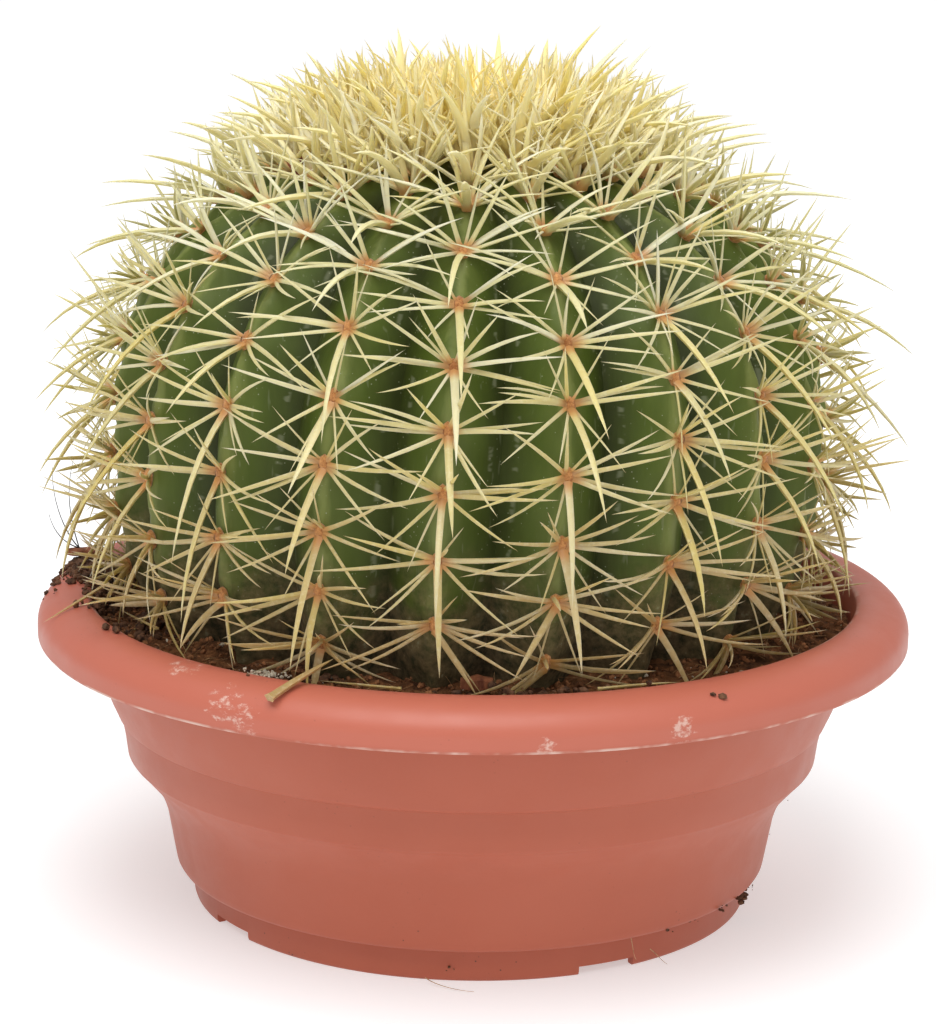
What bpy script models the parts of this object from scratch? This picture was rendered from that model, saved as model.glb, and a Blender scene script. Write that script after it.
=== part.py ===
"""Golden barrel cactus growing in a round plastic bowl.

Frame: metres, +Z up, origin at the centre of the foot ring on the surface the bowl stands on.
-Y is the front. The bowl, the soil, the ribbed stem, the wool on its crown, the row of areoles
and spines on each rib and the loose bits on top are separate solids.
"""
import math

import bmesh
import bpy
from mathutils import Matrix, Vector

# Bowl: driving dimensions.
RIM_RADIUS = 0.135
POT_HEIGHT = 0.0975
WALL = 0.0024
FOOT_RADIUS = 0.0872
FOOT_HEIGHT = 0.0107
FOOT_WALL = 0.0030
FLOOR_UNDERSIDE = 0.0080
FLOOR_TOP = 0.0125
SHOULDER_RADIUS = 0.1072
SHOULDER_HEIGHT = 0.0466
MOUTH_RADIUS = 0.1185
SKIRT_BOTTOM = 0.0844
ROLL_HEIGHT = 0.0885  # where the lip starts to curve over
ROLL_WIDTH = 0.0125
POT_STEPS = 48  # a multiple of 4, so the rim reaches its full radius along X and Y
NOTCH_ANGLES = (28.0, 124.0, 208.0, 304.0)  # degrees from the front, towards +X
NOTCH_WIDTH = 0.0185
NOTCH_HEIGHT = 0.0027
DRAIN_COUNT = 6
DRAIN_RADIUS = 0.0045
DRAIN_CIRCLE = 0.060
DRAIN_SIDES = 12
CUTTER_DEPTH = 0.02  # longer than any wall it cuts

# Soil.
GAP = 0.0004  # clearance between pieces that touch
SOIL_LEVEL = 0.0925
SOIL_DROP = 0.0055  # how far it falls from the stem to the bowl's wall at the back right

# Stem: driving dimensions. It is a super-ellipse of revolution with ribs, a little off the bowl's axis.
AXIS_X = -0.0027
AXIS_Y = 0.0010
RIB_COUNT = 20
CREST_RADIUS = 0.1095
WIDEST_HEIGHT = 0.1494
UPPER_HALF_HEIGHT = 0.0885
LOWER_HALF_HEIGHT = 0.117
PROFILE_POWER = 2.24
RIB_DEPTH = 0.0135
FIRST_RIB_ANGLE = -0.059
TWIST_PER_METRE = 0.578
STEM_BASE = 0.046
APEX_SINK = 0.0035
APEX_RADIUS = 0.026
BURIED_HEIGHTS = (STEM_BASE, 0.055, 0.070, SOIL_LEVEL)
VISIBLE_TURNS = (-24, -14, 0, 14, 27, 39, 50, 60, 69, 76.5, 82.5, 86.5)  # degrees up from the widest part

# Each rib's cross-section: share of the rib pitch from its crest, and share of the rib's depth cut away.
RIB_SECTION = ((0.0, 0.0), (0.2, 0.36), (0.5, 1.0), (0.8, 0.36))

# Areoles and spines.
AREOLE_SPACING = 0.0185
CROWN_SPACING = 0.0105
AREOLE_HALF_WIDTH = 0.0025
AREOLE_HALF_LENGTH = 0.0025
AREOLE_THICKNESS = 0.0018
LOWEST_AREOLE = 0.1040
CROWN_EDGE = 0.030
SECTOR_SHARE = 0.84  # how much of its own rib's sector a row of spines may fill
RADIAL_LENGTH = 0.026
CENTRAL_LENGTH = 0.035
RADIAL_REACH = (0.72, 0.42, 0.80)  # shares of a radial spine's length: outwards, along the crest, sideways
CENTRAL_REACH = (0.95, -0.35)  # shares of a central spine's length: outwards, along the crest
TIP_RADIUS = 0.1300  # furthest that a tip stands from the stem's axis
TIP_FLOOR = 0.1015  # no tip is lower, so the spines stay clear of the rim

WOOL_RADIUS = 0.0215
WOOL_THICKNESS = 0.0065

# Loose bits.
REMNANT_RIB = 16  # it stands between this rib and the next
REMNANT_TURN = 62.0  # degrees up the crest from the widest part
CHIPS = (  # name, centre, size, heading and tilt in degrees
    ("bark_chip_front", (0.0012, -0.1050, 0.0962), (0.0085, 0.0055, 0.0038), 8.0, 4.0),
    ("bark_chip_left", (-0.1235, 0.0262, 0.0998), (0.0130, 0.0045, 0.0022), -168.0, 0.0),
)


def make_material(name: str, colour: tuple, roughness: float):
    """A Principled material with one colour and one roughness."""
    material = bpy.data.materials.new(name)
    material.use_nodes = True
    shader = material.node_tree.nodes["Principled BSDF"]
    shader.inputs["Base Color"].default_value = (*colour, 1.0)
    shader.inputs["Roughness"].default_value = roughness
    material.diffuse_color = (*colour, 1.0)
    return material


def add_object(name: str, bm, material):
    """Turn a bmesh into a named object with outward faces and one material."""
    bmesh.ops.recalc_face_normals(bm, faces=bm.faces)
    mesh = bpy.data.meshes.new(name)
    bm.to_mesh(mesh)
    bm.free()
    mesh.materials.append(material)
    mesh.shade_smooth()
    mesh.set_sharp_from_angle(angle=math.radians(35))
    obj = bpy.data.objects.new(name, mesh)
    bpy.context.scene.collection.objects.link(obj)
    return obj


def arc(centre: tuple, radii: tuple, start: float, end: float, steps: int) -> list:
    """Points (r, z) along an elliptic arc from start to end, in degrees, both ends included."""
    points = []
    for step in range(steps + 1):
        turn = math.radians(start + (end - start) * step / steps)
        points.append((centre[0] + radii[0] * math.cos(turn), centre[1] + radii[1] * math.sin(turn)))
    return points


def turned(profile: list, steps: int):
    """A bmesh turned about the Z axis from (r, z) points that start and end on the axis."""
    bm = bmesh.new()
    verts = [bm.verts.new((radius, 0.0, height)) for radius, height in profile]
    edges = [bm.edges.new(pair) for pair in zip(verts, verts[1:])]
    bmesh.ops.spin(bm, geom=verts + edges, cent=(0, 0, 0), axis=(0, 0, 1), angle=math.tau,
                   steps=steps, use_merge=True)
    bmesh.ops.remove_doubles(bm, verts=bm.verts, dist=1e-6)
    return bm


def cut(obj, cutter):
    """Subtract a hidden cutter from an object."""
    cutter.hide_render = True
    cutter.display_type = "WIRE"
    boolean = obj.modifiers.new(cutter.name, "BOOLEAN")
    boolean.operation = "DIFFERENCE"
    boolean.object = cutter


# ---------------------------------------------------------------- bowl

# The bowl's outer side as (r, z), from the top of its foot up to the underside of its lip.
LOWER_WALL = ((0.0918, FOOT_HEIGHT), (0.0929, 0.0125), (0.0957, 0.0285), (0.0975, 0.0338))
SHOULDER = ((0.1003, 0.0382), (0.1046, 0.0428), (SHOULDER_RADIUS, SHOULDER_HEIGHT))
BAND = ((0.1084, 0.0515), (0.1098, 0.0590))
FLARE = ((0.1130, 0.0645), (0.1165, 0.0745), (0.1192, 0.0860))


def pot_inside(clearance: float = 0.0) -> list:
    """The bowl's inner side as (r, z), from the floor up to the mouth, moved inwards by clearance."""
    inset = WALL + clearance
    side = LOWER_WALL[2:] + SHOULDER[1:] + BAND[1:] + FLARE[1:]
    return [(LOWER_WALL[1][0] - inset, FLOOR_TOP + clearance)] + [
        (radius - inset, height) for radius, height in side
    ]


def pot_profile() -> list:
    """The bowl's wall from the underside's centre: foot, body, rolled lip with its skirt, inside, floor."""
    foot = ((FOOT_RADIUS - FOOT_WALL, FLOOR_UNDERSIDE), (FOOT_RADIUS - FOOT_WALL, 0.0),
            (FOOT_RADIUS - 0.0004, 0.0), (FOOT_RADIUS, FOOT_HEIGHT))
    under_lip = ((0.1220, POT_HEIGHT - 0.0045), (0.1270, POT_HEIGHT - 0.0035),
                 (RIM_RADIUS - WALL, ROLL_HEIGHT), (RIM_RADIUS - 0.0018, SKIRT_BOTTOM))
    roll = arc((RIM_RADIUS - ROLL_WIDTH, ROLL_HEIGHT), (ROLL_WIDTH, POT_HEIGHT - ROLL_HEIGHT), 0.0, 90.0, 5)
    mouth = ((MOUTH_RADIUS + 0.0006, POT_HEIGHT - 0.0006),)
    outside = [(0.0, FLOOR_UNDERSIDE), *foot, *LOWER_WALL, *SHOULDER, *BAND, *FLARE, *under_lip]
    return [*outside, (RIM_RADIUS, SKIRT_BOTTOM), *roll, *mouth, *reversed(pot_inside()), (0.0, FLOOR_TOP)]


def add_pot(material):
    """The thin-walled bowl, with drain holes in its floor and shallow drain notches under its foot."""
    pot = add_object("pot", turned(pot_profile(), POT_STEPS), material)
    cutters = bmesh.new()
    for angle in NOTCH_ANGLES:
        turn = Matrix.Rotation(math.radians(angle), 4, "Z")
        place = turn @ Matrix.Translation((0.0, -FOOT_RADIUS, 0.0))
        size = Matrix.Diagonal((NOTCH_WIDTH, CUTTER_DEPTH, 2 * NOTCH_HEIGHT, 1.0))
        bmesh.ops.create_cube(cutters, size=1.0, matrix=place @ size)
    for hole in range(DRAIN_COUNT):
        turn = Matrix.Rotation(math.tau * hole / DRAIN_COUNT, 4, "Z")
        bmesh.ops.create_cone(cutters, cap_ends=True, segments=DRAIN_SIDES, radius1=DRAIN_RADIUS,
                              radius2=DRAIN_RADIUS, depth=CUTTER_DEPTH,
                              matrix=turn @ Matrix.Translation((DRAIN_CIRCLE, 0.0, FLOOR_UNDERSIDE)))
    cut(pot, add_object("pot_cutters", cutters, material))
    return pot


# ---------------------------------------------------------------- stem and soil

def crest(turn: float) -> tuple:
    """(r, z) on the rib crest: turn runs from -90 degrees at the base through 0 at the widest to 90."""
    power = 2.0 / PROFILE_POWER
    radius = CREST_RADIUS * abs(math.cos(turn)) ** power
    rise = abs(math.sin(turn)) ** power
    half = UPPER_HALF_HEIGHT if turn > 0 else -LOWER_HALF_HEIGHT
    height = WIDEST_HEIGHT + half * rise
    if turn > 0 and radius < APEX_RADIUS:
        height -= APEX_SINK * (1.0 - (radius / APEX_RADIUS) ** 2)
    return radius, height


def crest_radius_at(height: float) -> float:
    """The crest's radius at a height below the widest."""
    share = (WIDEST_HEIGHT - height) / LOWER_HALF_HEIGHT
    return CREST_RADIUS * (1.0 - share ** PROFILE_POWER) ** (1.0 / PROFILE_POWER)


def around(angle: float, radius: float, height: float) -> Vector:
    """The point at an angle from the front towards +X about the stem's axis, twisted with its height."""
    turn = FIRST_RIB_ANGLE + angle + TWIST_PER_METRE * (height - WIDEST_HEIGHT)
    return Vector((AXIS_X + radius * math.sin(turn), AXIS_Y - radius * math.cos(turn), height))


def ribbed_ring(bm, radius: float, height: float, clearance: float = 0.0) -> list:
    """One ring of vertices round the ribbed stem at a height, moved outwards by clearance."""
    depth = RIB_DEPTH * min(1.0, radius / (0.75 * CREST_RADIUS))
    pitch = math.tau / RIB_COUNT
    return [
        bm.verts.new(around((rib + share) * pitch, radius - depth * cut_away + clearance, height))
        for rib in range(RIB_COUNT)
        for share, cut_away in RIB_SECTION
    ]


def bridge(bm, first: list, second: list):
    """Join two rings of vertices of the same count."""
    count = len(first)
    for i in range(count):
        bm.faces.new((first[i], first[(i + 1) % count], second[(i + 1) % count], second[i]))


def fan(bm, ring: list, centre):
    """Close a ring onto one vertex."""
    for i in range(len(ring)):
        bm.faces.new((ring[i], ring[(i + 1) % len(ring)], centre))


def add_stem(material):
    """The ribbed barrel, with its buried base and its slightly sunken apex."""
    bm = bmesh.new()
    stations = [(crest_radius_at(height), height) for height in BURIED_HEIGHTS]
    stations += [crest(math.radians(turn)) for turn in VISIBLE_TURNS]
    rings = [ribbed_ring(bm, radius, height) for radius, height in stations]
    for lower, upper in zip(rings, rings[1:]):
        bridge(bm, lower, upper)
    fan(bm, rings[0], bm.verts.new((AXIS_X, AXIS_Y, STEM_BASE)))
    fan(bm, rings[-1], bm.verts.new((AXIS_X, AXIS_Y, crest(math.pi / 2)[1])))
    return add_object("cactus_stem", bm, material)


def soil_top(angle: float, share: float) -> float:
    """The soil's height at an angle, share of the way from the stem to the bowl's wall."""
    fall = 0.5 - 0.5 * math.cos(angle + math.radians(60))
    waves = 0.15 * math.sin(3 * angle + 0.7) + 0.10 * math.sin(7 * angle)
    return SOIL_LEVEL - share * SOIL_DROP * (fall + waves)


def add_soil(material):
    """The potting soil: it fills the bowl and has a socket shaped like the stem's buried base."""
    bm = bmesh.new()
    columns = RIB_COUNT * len(RIB_SECTION)
    wall = pot_inside(GAP)

    def wall_ring(radius: float, height: float) -> list:
        turns = (math.tau * i / columns for i in range(columns))
        return [bm.verts.new((radius * math.sin(turn), -radius * math.cos(turn), height)) for turn in turns]

    rings = [wall_ring(radius, height) for radius, height in wall[:-1]]
    edge_radius = wall[-1][0]
    socket_top = ribbed_ring(bm, crest_radius_at(SOIL_LEVEL), SOIL_LEVEL, GAP * 1.5)
    for share in (1.0, 0.55):
        ring = []
        for i, inner in enumerate(socket_top):
            angle = math.tau * i / columns
            outer = Vector((edge_radius * math.sin(angle), -edge_radius * math.cos(angle), 0.0))
            point = inner.co.lerp(outer, share)
            point.z = soil_top(angle, share)
            ring.append(bm.verts.new(point))
        rings.append(ring)
    rings.append(socket_top)
    for height in reversed(BURIED_HEIGHTS[:-1]):
        drop = GAP if height == STEM_BASE else 0.0
        ring = ribbed_ring(bm, crest_radius_at(height), height, GAP * 1.5)
        for vert in ring:
            vert.co.z -= drop
        rings.append(ring)
    for lower, upper in zip(rings, rings[1:]):
        bridge(bm, lower, upper)
    fan(bm, rings[0], bm.verts.new((0.0, 0.0, wall[0][1])))
    fan(bm, rings[-1], bm.verts.new((AXIS_X, AXIS_Y, STEM_BASE - GAP)))
    return add_object("potting_soil", bm, material)


# ---------------------------------------------------------------- areoles and spines

def crest_samples() -> list:
    """(arc length, r, z, outward normal) along one crest, from the base to the crown."""
    samples = []
    length = 0.0
    steps = 600
    for step in range(steps):
        turn = math.radians(-60 + 148 * step / steps)
        radius, height = crest(turn)
        ahead_radius, ahead_height = crest(turn + math.radians(0.2))
        run = Vector((ahead_radius - radius, ahead_height - height)).normalized()
        if samples:
            length += math.hypot(radius - samples[-1][1], height - samples[-1][2])
        samples.append((length, radius, height, Vector((run.y, -run.x))))
    return samples


SAMPLES = crest_samples()


def at_length(length: float) -> tuple:
    """(r, z, outward normal) on the crest at an arc length from the base."""
    index = min(range(len(SAMPLES)), key=lambda i: abs(SAMPLES[i][0] - length))
    return SAMPLES[index][1:]


def areole_lengths(rib: int) -> list:
    """Arc lengths of one rib's areoles, staggered from rib to rib and crowded at the crown."""
    start = next(sample[0] for sample in SAMPLES if sample[2] >= LOWEST_AREOLE)
    lengths = [start + AREOLE_SPACING * (0.1 + 0.5 * (rib % 2))]
    while True:
        radius = at_length(lengths[-1])[0]
        spacing = CROWN_SPACING + (AREOLE_SPACING - CROWN_SPACING) * min(1.0, radius / (0.8 * CREST_RADIUS))
        if at_length(lengths[-1] + spacing)[0] < CROWN_EDGE:
            return lengths
        lengths.append(lengths[-1] + spacing)


def add_row(rib: int, material):
    """One rib's areoles, joined by a low ridge of cork along the crest, with five spines from each."""
    bm = bmesh.new()
    pitch = math.tau / RIB_COUNT
    sections = []
    centres = []
    for length in areole_lengths(rib):
        centres.append((len(sections), length))
        for offset in (-AREOLE_HALF_LENGTH, 0.0, AREOLE_HALF_LENGTH):
            radius, height, normal = at_length(length + offset)
            half_width = min(AREOLE_HALF_WIDTH, 0.5 * radius * pitch * SECTOR_SHARE)
            corners = []
            for side, lift in ((-1, GAP), (1, GAP), (1, AREOLE_THICKNESS), (-1, AREOLE_THICKNESS)):
                reach = radius + normal.x * (lift + GAP)
                corners.append(bm.verts.new(around(
                    rib * pitch + side * half_width / radius, reach, height + normal.y * (lift + GAP))))
            sections.append(corners)
    spine_faces = []
    for index, (lower, upper) in enumerate(zip(sections, sections[1:])):
        faces = [bm.faces.new((lower[i], lower[(i + 1) % 4], upper[(i + 1) % 4], upper[i])) for i in range(4)]
        spine_faces.append(faces)
    bm.faces.new(sections[0])
    bm.faces.new(sections[-1])
    for first, length in centres:
        radius, height, normal = at_length(length)
        areole = (radius, height, normal)
        outward, along, sideways = (share * RADIAL_LENGTH for share in RADIAL_REACH)
        for half, way in ((0, -1), (1, 1)):
            for face, side in ((1, 1), (3, -1)):
                set_spine(bm, spine_faces[first + half][face], rib * pitch, areole,
                          (outward, way * along, side * sideways))
        outward, along = (share * CENTRAL_LENGTH for share in CENTRAL_REACH)
        set_spine(bm, spine_faces[first][2], rib * pitch, areole,
                  (outward, along * min(1.0, radius / CREST_RADIUS), 0.0))
    return add_object(f"spine_row_{rib + 1:02d}", bm, material)


def set_spine(bm, face, rib_angle: float, areole: tuple, reach: tuple):
    """Pull one face of an areole out into a pointed spine. reach is (outward, along the crest, sideways)."""
    radius, height, normal = areole
    outward, along, sideways = reach
    tip_radius = min(TIP_RADIUS, radius + outward * normal.x - along * normal.y)
    tip_height = max(TIP_FLOOR, height + outward * normal.y + along * normal.x)
    widest = SECTOR_SHARE * math.pi / RIB_COUNT
    angle = max(-widest, min(widest, sideways / max(tip_radius, 1e-6)))
    poked = bmesh.ops.poke(bm, faces=[face])
    poked["verts"][0].co = around(rib_angle + angle, tip_radius, tip_height)


# ---------------------------------------------------------------- wool and loose bits

def add_wool(material):
    """The felt of young wool that fills the sunken apex."""
    edge_radius, edge_height = WOOL_RADIUS, WIDEST_HEIGHT + UPPER_HALF_HEIGHT
    bottom = crest(math.pi / 2)[1] + 2 * GAP
    profile = [(0.0, bottom), (0.5 * edge_radius, bottom + 0.0014), (edge_radius, edge_height + GAP)]
    profile += arc((0.0, edge_height + GAP), (edge_radius, WOOL_THICKNESS), 20.0, 90.0, 4)
    bm = turned(profile, RIB_COUNT)
    bmesh.ops.translate(bm, verts=bm.verts, vec=(AXIS_X, AXIS_Y, 0.0))
    return add_object("crown_wool", bm, material)


def add_flower_remnant(material):
    """The dry, pointed remains of a flower, standing in the furrow between two ribs near the crown."""
    radius, height = crest(math.radians(REMNANT_TURN))
    angle = (REMNANT_RIB + 0.5) * math.tau / RIB_COUNT
    foot = around(angle, radius - 0.0018, height - 0.0018)
    tip = around(angle, radius + 0.0045, height + 0.0075)
    bm = bmesh.new()
    bmesh.ops.create_cone(bm, cap_ends=True, segments=6, radius1=0.0011, radius2=0.0003,
                          depth=(tip - foot).length)
    turn = (tip - foot).to_track_quat("Z", "Y").to_matrix().to_4x4()
    bmesh.ops.transform(bm, matrix=Matrix.Translation((foot + tip) / 2) @ turn, verts=bm.verts)
    return add_object("dry_flower_remnant", bm, material)


def add_bark_chip(name: str, centre: tuple, size: tuple, heading: float, tilt: float, material):
    """A flake of bark: a flat block with a narrower end."""
    bm = bmesh.new()
    bmesh.ops.create_cube(bm, size=1.0, matrix=Matrix.Diagonal((*size, 1.0)))
    for vert in bm.verts:
        if vert.co.x > 0:
            vert.co.y *= 0.55
            vert.co.z *= 0.7
    turn = Matrix.Rotation(math.radians(heading), 4, "Z") @ Matrix.Rotation(math.radians(tilt), 4, "Y")
    bmesh.ops.transform(bm, matrix=Matrix.Translation(centre) @ turn, verts=bm.verts)
    return add_object(name, bm, material)


def main():
    """Build every piece."""
    for obj in list(bpy.data.objects):
        bpy.data.objects.remove(obj)
    plastic = make_material("terracotta_plastic", (0.55, 0.16, 0.085), 0.42)
    peat = make_material("peat", (0.03, 0.018, 0.012), 0.95)
    skin = make_material("stem_skin", (0.03, 0.10, 0.02), 0.45)
    spine = make_material("spine", (0.72, 0.56, 0.25), 0.5)
    wool = make_material("wool", (0.70, 0.58, 0.28), 0.9)
    bark = make_material("bark", (0.24, 0.10, 0.05), 0.85)
    petal = make_material("dry_petal", (0.35, 0.12, 0.09), 0.8)
    add_pot(plastic)
    add_soil(peat)
    add_stem(skin)
    add_wool(wool)
    for rib in range(RIB_COUNT):
        add_row(rib, spine)
    add_flower_remnant(petal)
    for name, centre, size, heading, tilt in CHIPS:
        add_bark_chip(name, centre, size, heading, tilt, bark)


main()
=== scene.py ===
"""Looks of a golden barrel cactus in a round terracotta-coloured bowl.

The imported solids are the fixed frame. Each class below builds one sub-assembly around them, in
metres, with +Z up and -Y to the front, and dresses it with its own procedural finish.
"""
import logging
import math
import random
from bisect import bisect_left
from dataclasses import dataclass, field
from enum import Enum

import bmesh
import bpy
from mathutils import Matrix, Vector, noise


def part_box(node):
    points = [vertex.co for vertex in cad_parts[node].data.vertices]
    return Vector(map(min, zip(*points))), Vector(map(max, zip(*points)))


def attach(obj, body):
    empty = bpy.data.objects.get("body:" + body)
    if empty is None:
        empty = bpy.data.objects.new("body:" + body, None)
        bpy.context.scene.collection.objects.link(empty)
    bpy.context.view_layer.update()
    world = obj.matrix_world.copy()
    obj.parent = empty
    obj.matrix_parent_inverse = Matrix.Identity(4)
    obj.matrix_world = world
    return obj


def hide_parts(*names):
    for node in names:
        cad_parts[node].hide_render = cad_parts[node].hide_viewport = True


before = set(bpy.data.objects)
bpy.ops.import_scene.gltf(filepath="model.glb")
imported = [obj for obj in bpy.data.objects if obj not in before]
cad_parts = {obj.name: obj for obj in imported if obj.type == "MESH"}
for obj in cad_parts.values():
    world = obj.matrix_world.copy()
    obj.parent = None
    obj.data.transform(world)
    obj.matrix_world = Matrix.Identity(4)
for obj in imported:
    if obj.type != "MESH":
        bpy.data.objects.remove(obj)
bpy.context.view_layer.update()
LOG = logging.getLogger("barrel_cactus")
BODY = "root"
GOLDEN_ANGLE = math.radians(137.508)
CRUMB_LUMP = 0.0009  # width of the lumps on a crumb
CRUMB_RELIEF = 0.0003  # and their height

Colour = tuple[float, float, float]
BMesh = bmesh.types.BMesh
Material = bpy.types.Material
Socket = bpy.types.NodeSocket
Piece = bpy.types.Object
Feed = Socket | Colour | float  # what a shader node's input takes
Axes = tuple[Vector, Vector, Vector, Vector]  # a place, and the directions outward, up and sideways


def linear(red: int, green: int, blue: int) -> Colour:
    """Turn a display colour into the linear values that shaders take.

    Args:
        red, green, blue: channels from 0 to 255.

    Returns:
        The three linear channels.
    """
    channels = (value / 255.0 for value in (red, green, blue))
    return tuple(c / 12.92 if c <= 0.04045 else ((c + 0.055) / 1.055) ** 2.4 for c in channels)


def wobble(point: Vector, size: float, seed: float = 0.0) -> float:
    """Smooth noise between -1 and 1.

    Args:
        point: where, in metres.
        size: the width of its bumps, in metres.
        seed: moves to another part of the noise.

    Returns:
        The noise value.
    """
    return noise.noise(point / size + Vector((seed, seed * 1.7, -seed)))


def polar(angle: float, radius: float, height: float = 0.0) -> Vector:
    """The point at an angle from the front towards +X, in radians, a radius and a height."""
    return Vector((radius * math.sin(angle), -radius * math.cos(angle), height))


# ---------------------------------------------------------------- shader graphs

class Graph:
    """A small builder for the nodes of one material."""

    def __init__(self, name: str) -> None:
        """Start a material with a Principled shader.

        Args:
            name: the material's name.
        """
        self.material = bpy.data.materials.new(name)
        self.material.use_nodes = True
        self.tree = self.material.node_tree
        self.shader = self.tree.nodes["Principled BSDF"]

    def node(self, kind: str, **settings: object) -> bpy.types.Node:
        """Add a node.

        Args:
            kind: the node's type, such as "ShaderNodeMath".
            settings: properties to set on it.

        Returns:
            The new node.
        """
        made = self.tree.nodes.new(kind)
        for key, value in settings.items():
            setattr(made, key, value)
        return made

    def link(self, source: Socket, target: Socket) -> None:
        """Join two sockets."""
        self.tree.links.new(source, target)

    def feed(self, target: Socket, value: Feed) -> None:
        """Give a socket a link if value is a socket, or else a plain value.

        Args:
            target: the socket to set.
            value: a socket, a colour or a number.
        """
        if isinstance(value, Socket):
            self.link(value, target)
        elif isinstance(value, tuple) and len(value) == 3 and len(target.default_value) == 4:
            target.default_value = (*value, 1.0)
        else:
            target.default_value = value

    def place(self) -> Socket:
        """The point on the piece, in metres."""
        return self.node("ShaderNodeTexCoord").outputs["Object"]

    def stretched(self, scale: tuple[float, float, float]) -> Socket:
        """The point with its three coordinates scaled.

        Args:
            scale: one number for each axis.

        Returns:
            The scaled point.
        """
        mapping = self.node("ShaderNodeMapping")
        mapping.inputs["Scale"].default_value = scale
        self.link(self.place(), mapping.inputs["Vector"])
        return mapping.outputs["Vector"]

    def height(self) -> Socket:
        """The height on the piece, in metres.

        Returns:
            The Z coordinate.
        """
        split = self.node("ShaderNodeSeparateXYZ")
        self.link(self.place(), split.inputs[0])
        return split.outputs["Z"]

    def mark(self, name: str) -> Socket:
        """A number stored on the piece's vertices under this name."""
        return self.node("ShaderNodeAttribute", attribute_name=name).outputs["Fac"]

    def noise(self, per_metre: float, detail: float = 3.0, roughness: float = 0.55,
              vector: Socket | None = None) -> Socket:
        """Fractal noise from 0 to 1.

        Args:
            per_metre: how many bumps to a metre.
            detail: how many finer layers are added.
            roughness: how strong the finer layers are.
            vector: the point to read, if not the piece's own.

        Returns:
            The noise's socket.
        """
        made = self.node("ShaderNodeTexNoise")
        made.inputs["Scale"].default_value = per_metre
        made.inputs["Detail"].default_value = detail
        made.inputs["Roughness"].default_value = roughness
        self.link(vector or self.place(), made.inputs["Vector"])
        return made.outputs["Fac"]

    def specks(self, per_metre: float, vector: Socket | None = None) -> Socket:
        """Distance to the nearest of many scattered points, in cells.

        Args:
            per_metre: how many cells to a metre.
            vector: the point to read, if not the piece's own.

        Returns:
            The distance.
        """
        made = self.node("ShaderNodeTexVoronoi")
        made.inputs["Scale"].default_value = per_metre
        self.link(vector or self.place(), made.inputs["Vector"])
        return made.outputs["Distance"]

    def ramp(self, value: Socket, stops: list[tuple[float, Colour | float]]) -> Socket:
        """A colour ramp.

        Args:
            value: the socket that runs along it.
            stops: pairs of a place from 0 to 1 and a colour or grey.

        Returns:
            The ramp's colour socket.
        """
        made = self.node("ShaderNodeValToRGB")
        elements = made.color_ramp.elements
        while len(elements) < len(stops):
            elements.new(0.5)
        for element, (where, what) in zip(elements, stops):
            element.position = where
            grey = isinstance(what, (int, float))
            element.color = (what, what, what, 1.0) if grey else (*what, 1.0)
        self.link(value, made.inputs["Fac"])
        return made.outputs["Color"]

    def mix(self, share: Feed, first: Feed, second: Feed, blend: str = "MIX") -> Socket:
        """Mix two colours.

        Args:
            share: how much of the second, a socket or a number.
            first, second: sockets or colours.
            blend: the way they mix.

        Returns:
            The mixed colour's socket.
        """
        made = self.node("ShaderNodeMix", data_type="RGBA", blend_type=blend)
        self.feed(made.inputs[0], share)
        self.feed(made.inputs[6], first)
        self.feed(made.inputs[7], second)
        return made.outputs[2]

    def math(self, operation: str, first: Feed, second: Feed = 0.0, clamp: bool = False) -> Socket:
        """A calculation on one or two numbers or sockets.

        Args:
            operation: such as "ADD" or "MULTIPLY".
            first, second: sockets or numbers.
            clamp: whether the answer stays from 0 to 1.

        Returns:
            The answer.
        """
        made = self.node("ShaderNodeMath", operation=operation, use_clamp=clamp)
        self.feed(made.inputs[0], first)
        self.feed(made.inputs[1], second)
        return made.outputs[0]

    def plus(self, first: Feed, second: Feed, clamp: bool = False) -> Socket:
        """The sum of two sockets or numbers."""
        return self.math("ADD", first, second, clamp)

    def times(self, first: Feed, second: Feed, clamp: bool = False) -> Socket:
        """The product of two sockets or numbers."""
        return self.math("MULTIPLY", first, second, clamp)

    def between(self, value: Feed, low: float, high: float, to_low: float = 0.0,
                to_high: float = 1.0) -> Socket:
        """Move a range onto another, smoothly and clamped.

        Args:
            value: the socket to move.
            low, high: the range that it comes from.
            to_low, to_high: the range that it goes to.

        Returns:
            The moved value.
        """
        made = self.node("ShaderNodeMapRange", interpolation_type="SMOOTHSTEP")
        self.feed(made.inputs["Value"], value)
        ends = {"From Min": low, "From Max": high, "To Min": to_low, "To Max": to_high}
        for key, number in ends.items():
            made.inputs[key].default_value = number
        return made.outputs["Result"]

    def near(self, spot: tuple[float, float, float], reach: float) -> Socket:
        """A soft spot: 1 at a place on the piece, falling to 0 at reach metres from it.

        Args:
            spot: the place, in metres.
            reach: how far the spot spreads.

        Returns:
            The spot.
        """
        made = self.node("ShaderNodeVectorMath", operation="DISTANCE")
        self.link(self.place(), made.inputs[0])
        made.inputs[1].default_value = spot
        return self.between(made.outputs["Value"], reach, 0.35 * reach)

    def bump(self, height: Socket, depth: float, strength: float = 1.0) -> None:
        """Raise the surface by a height map, depth metres at most.

        Args:
            height: the map, from 0 to 1.
            depth: how high 1 stands, in metres.
            strength: how much of it shows.
        """
        made = self.node("ShaderNodeBump")
        made.inputs["Strength"].default_value = strength
        made.inputs["Distance"].default_value = depth
        self.link(height, made.inputs["Height"])
        self.link(made.outputs["Normal"], self.shader.inputs["Normal"])

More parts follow.
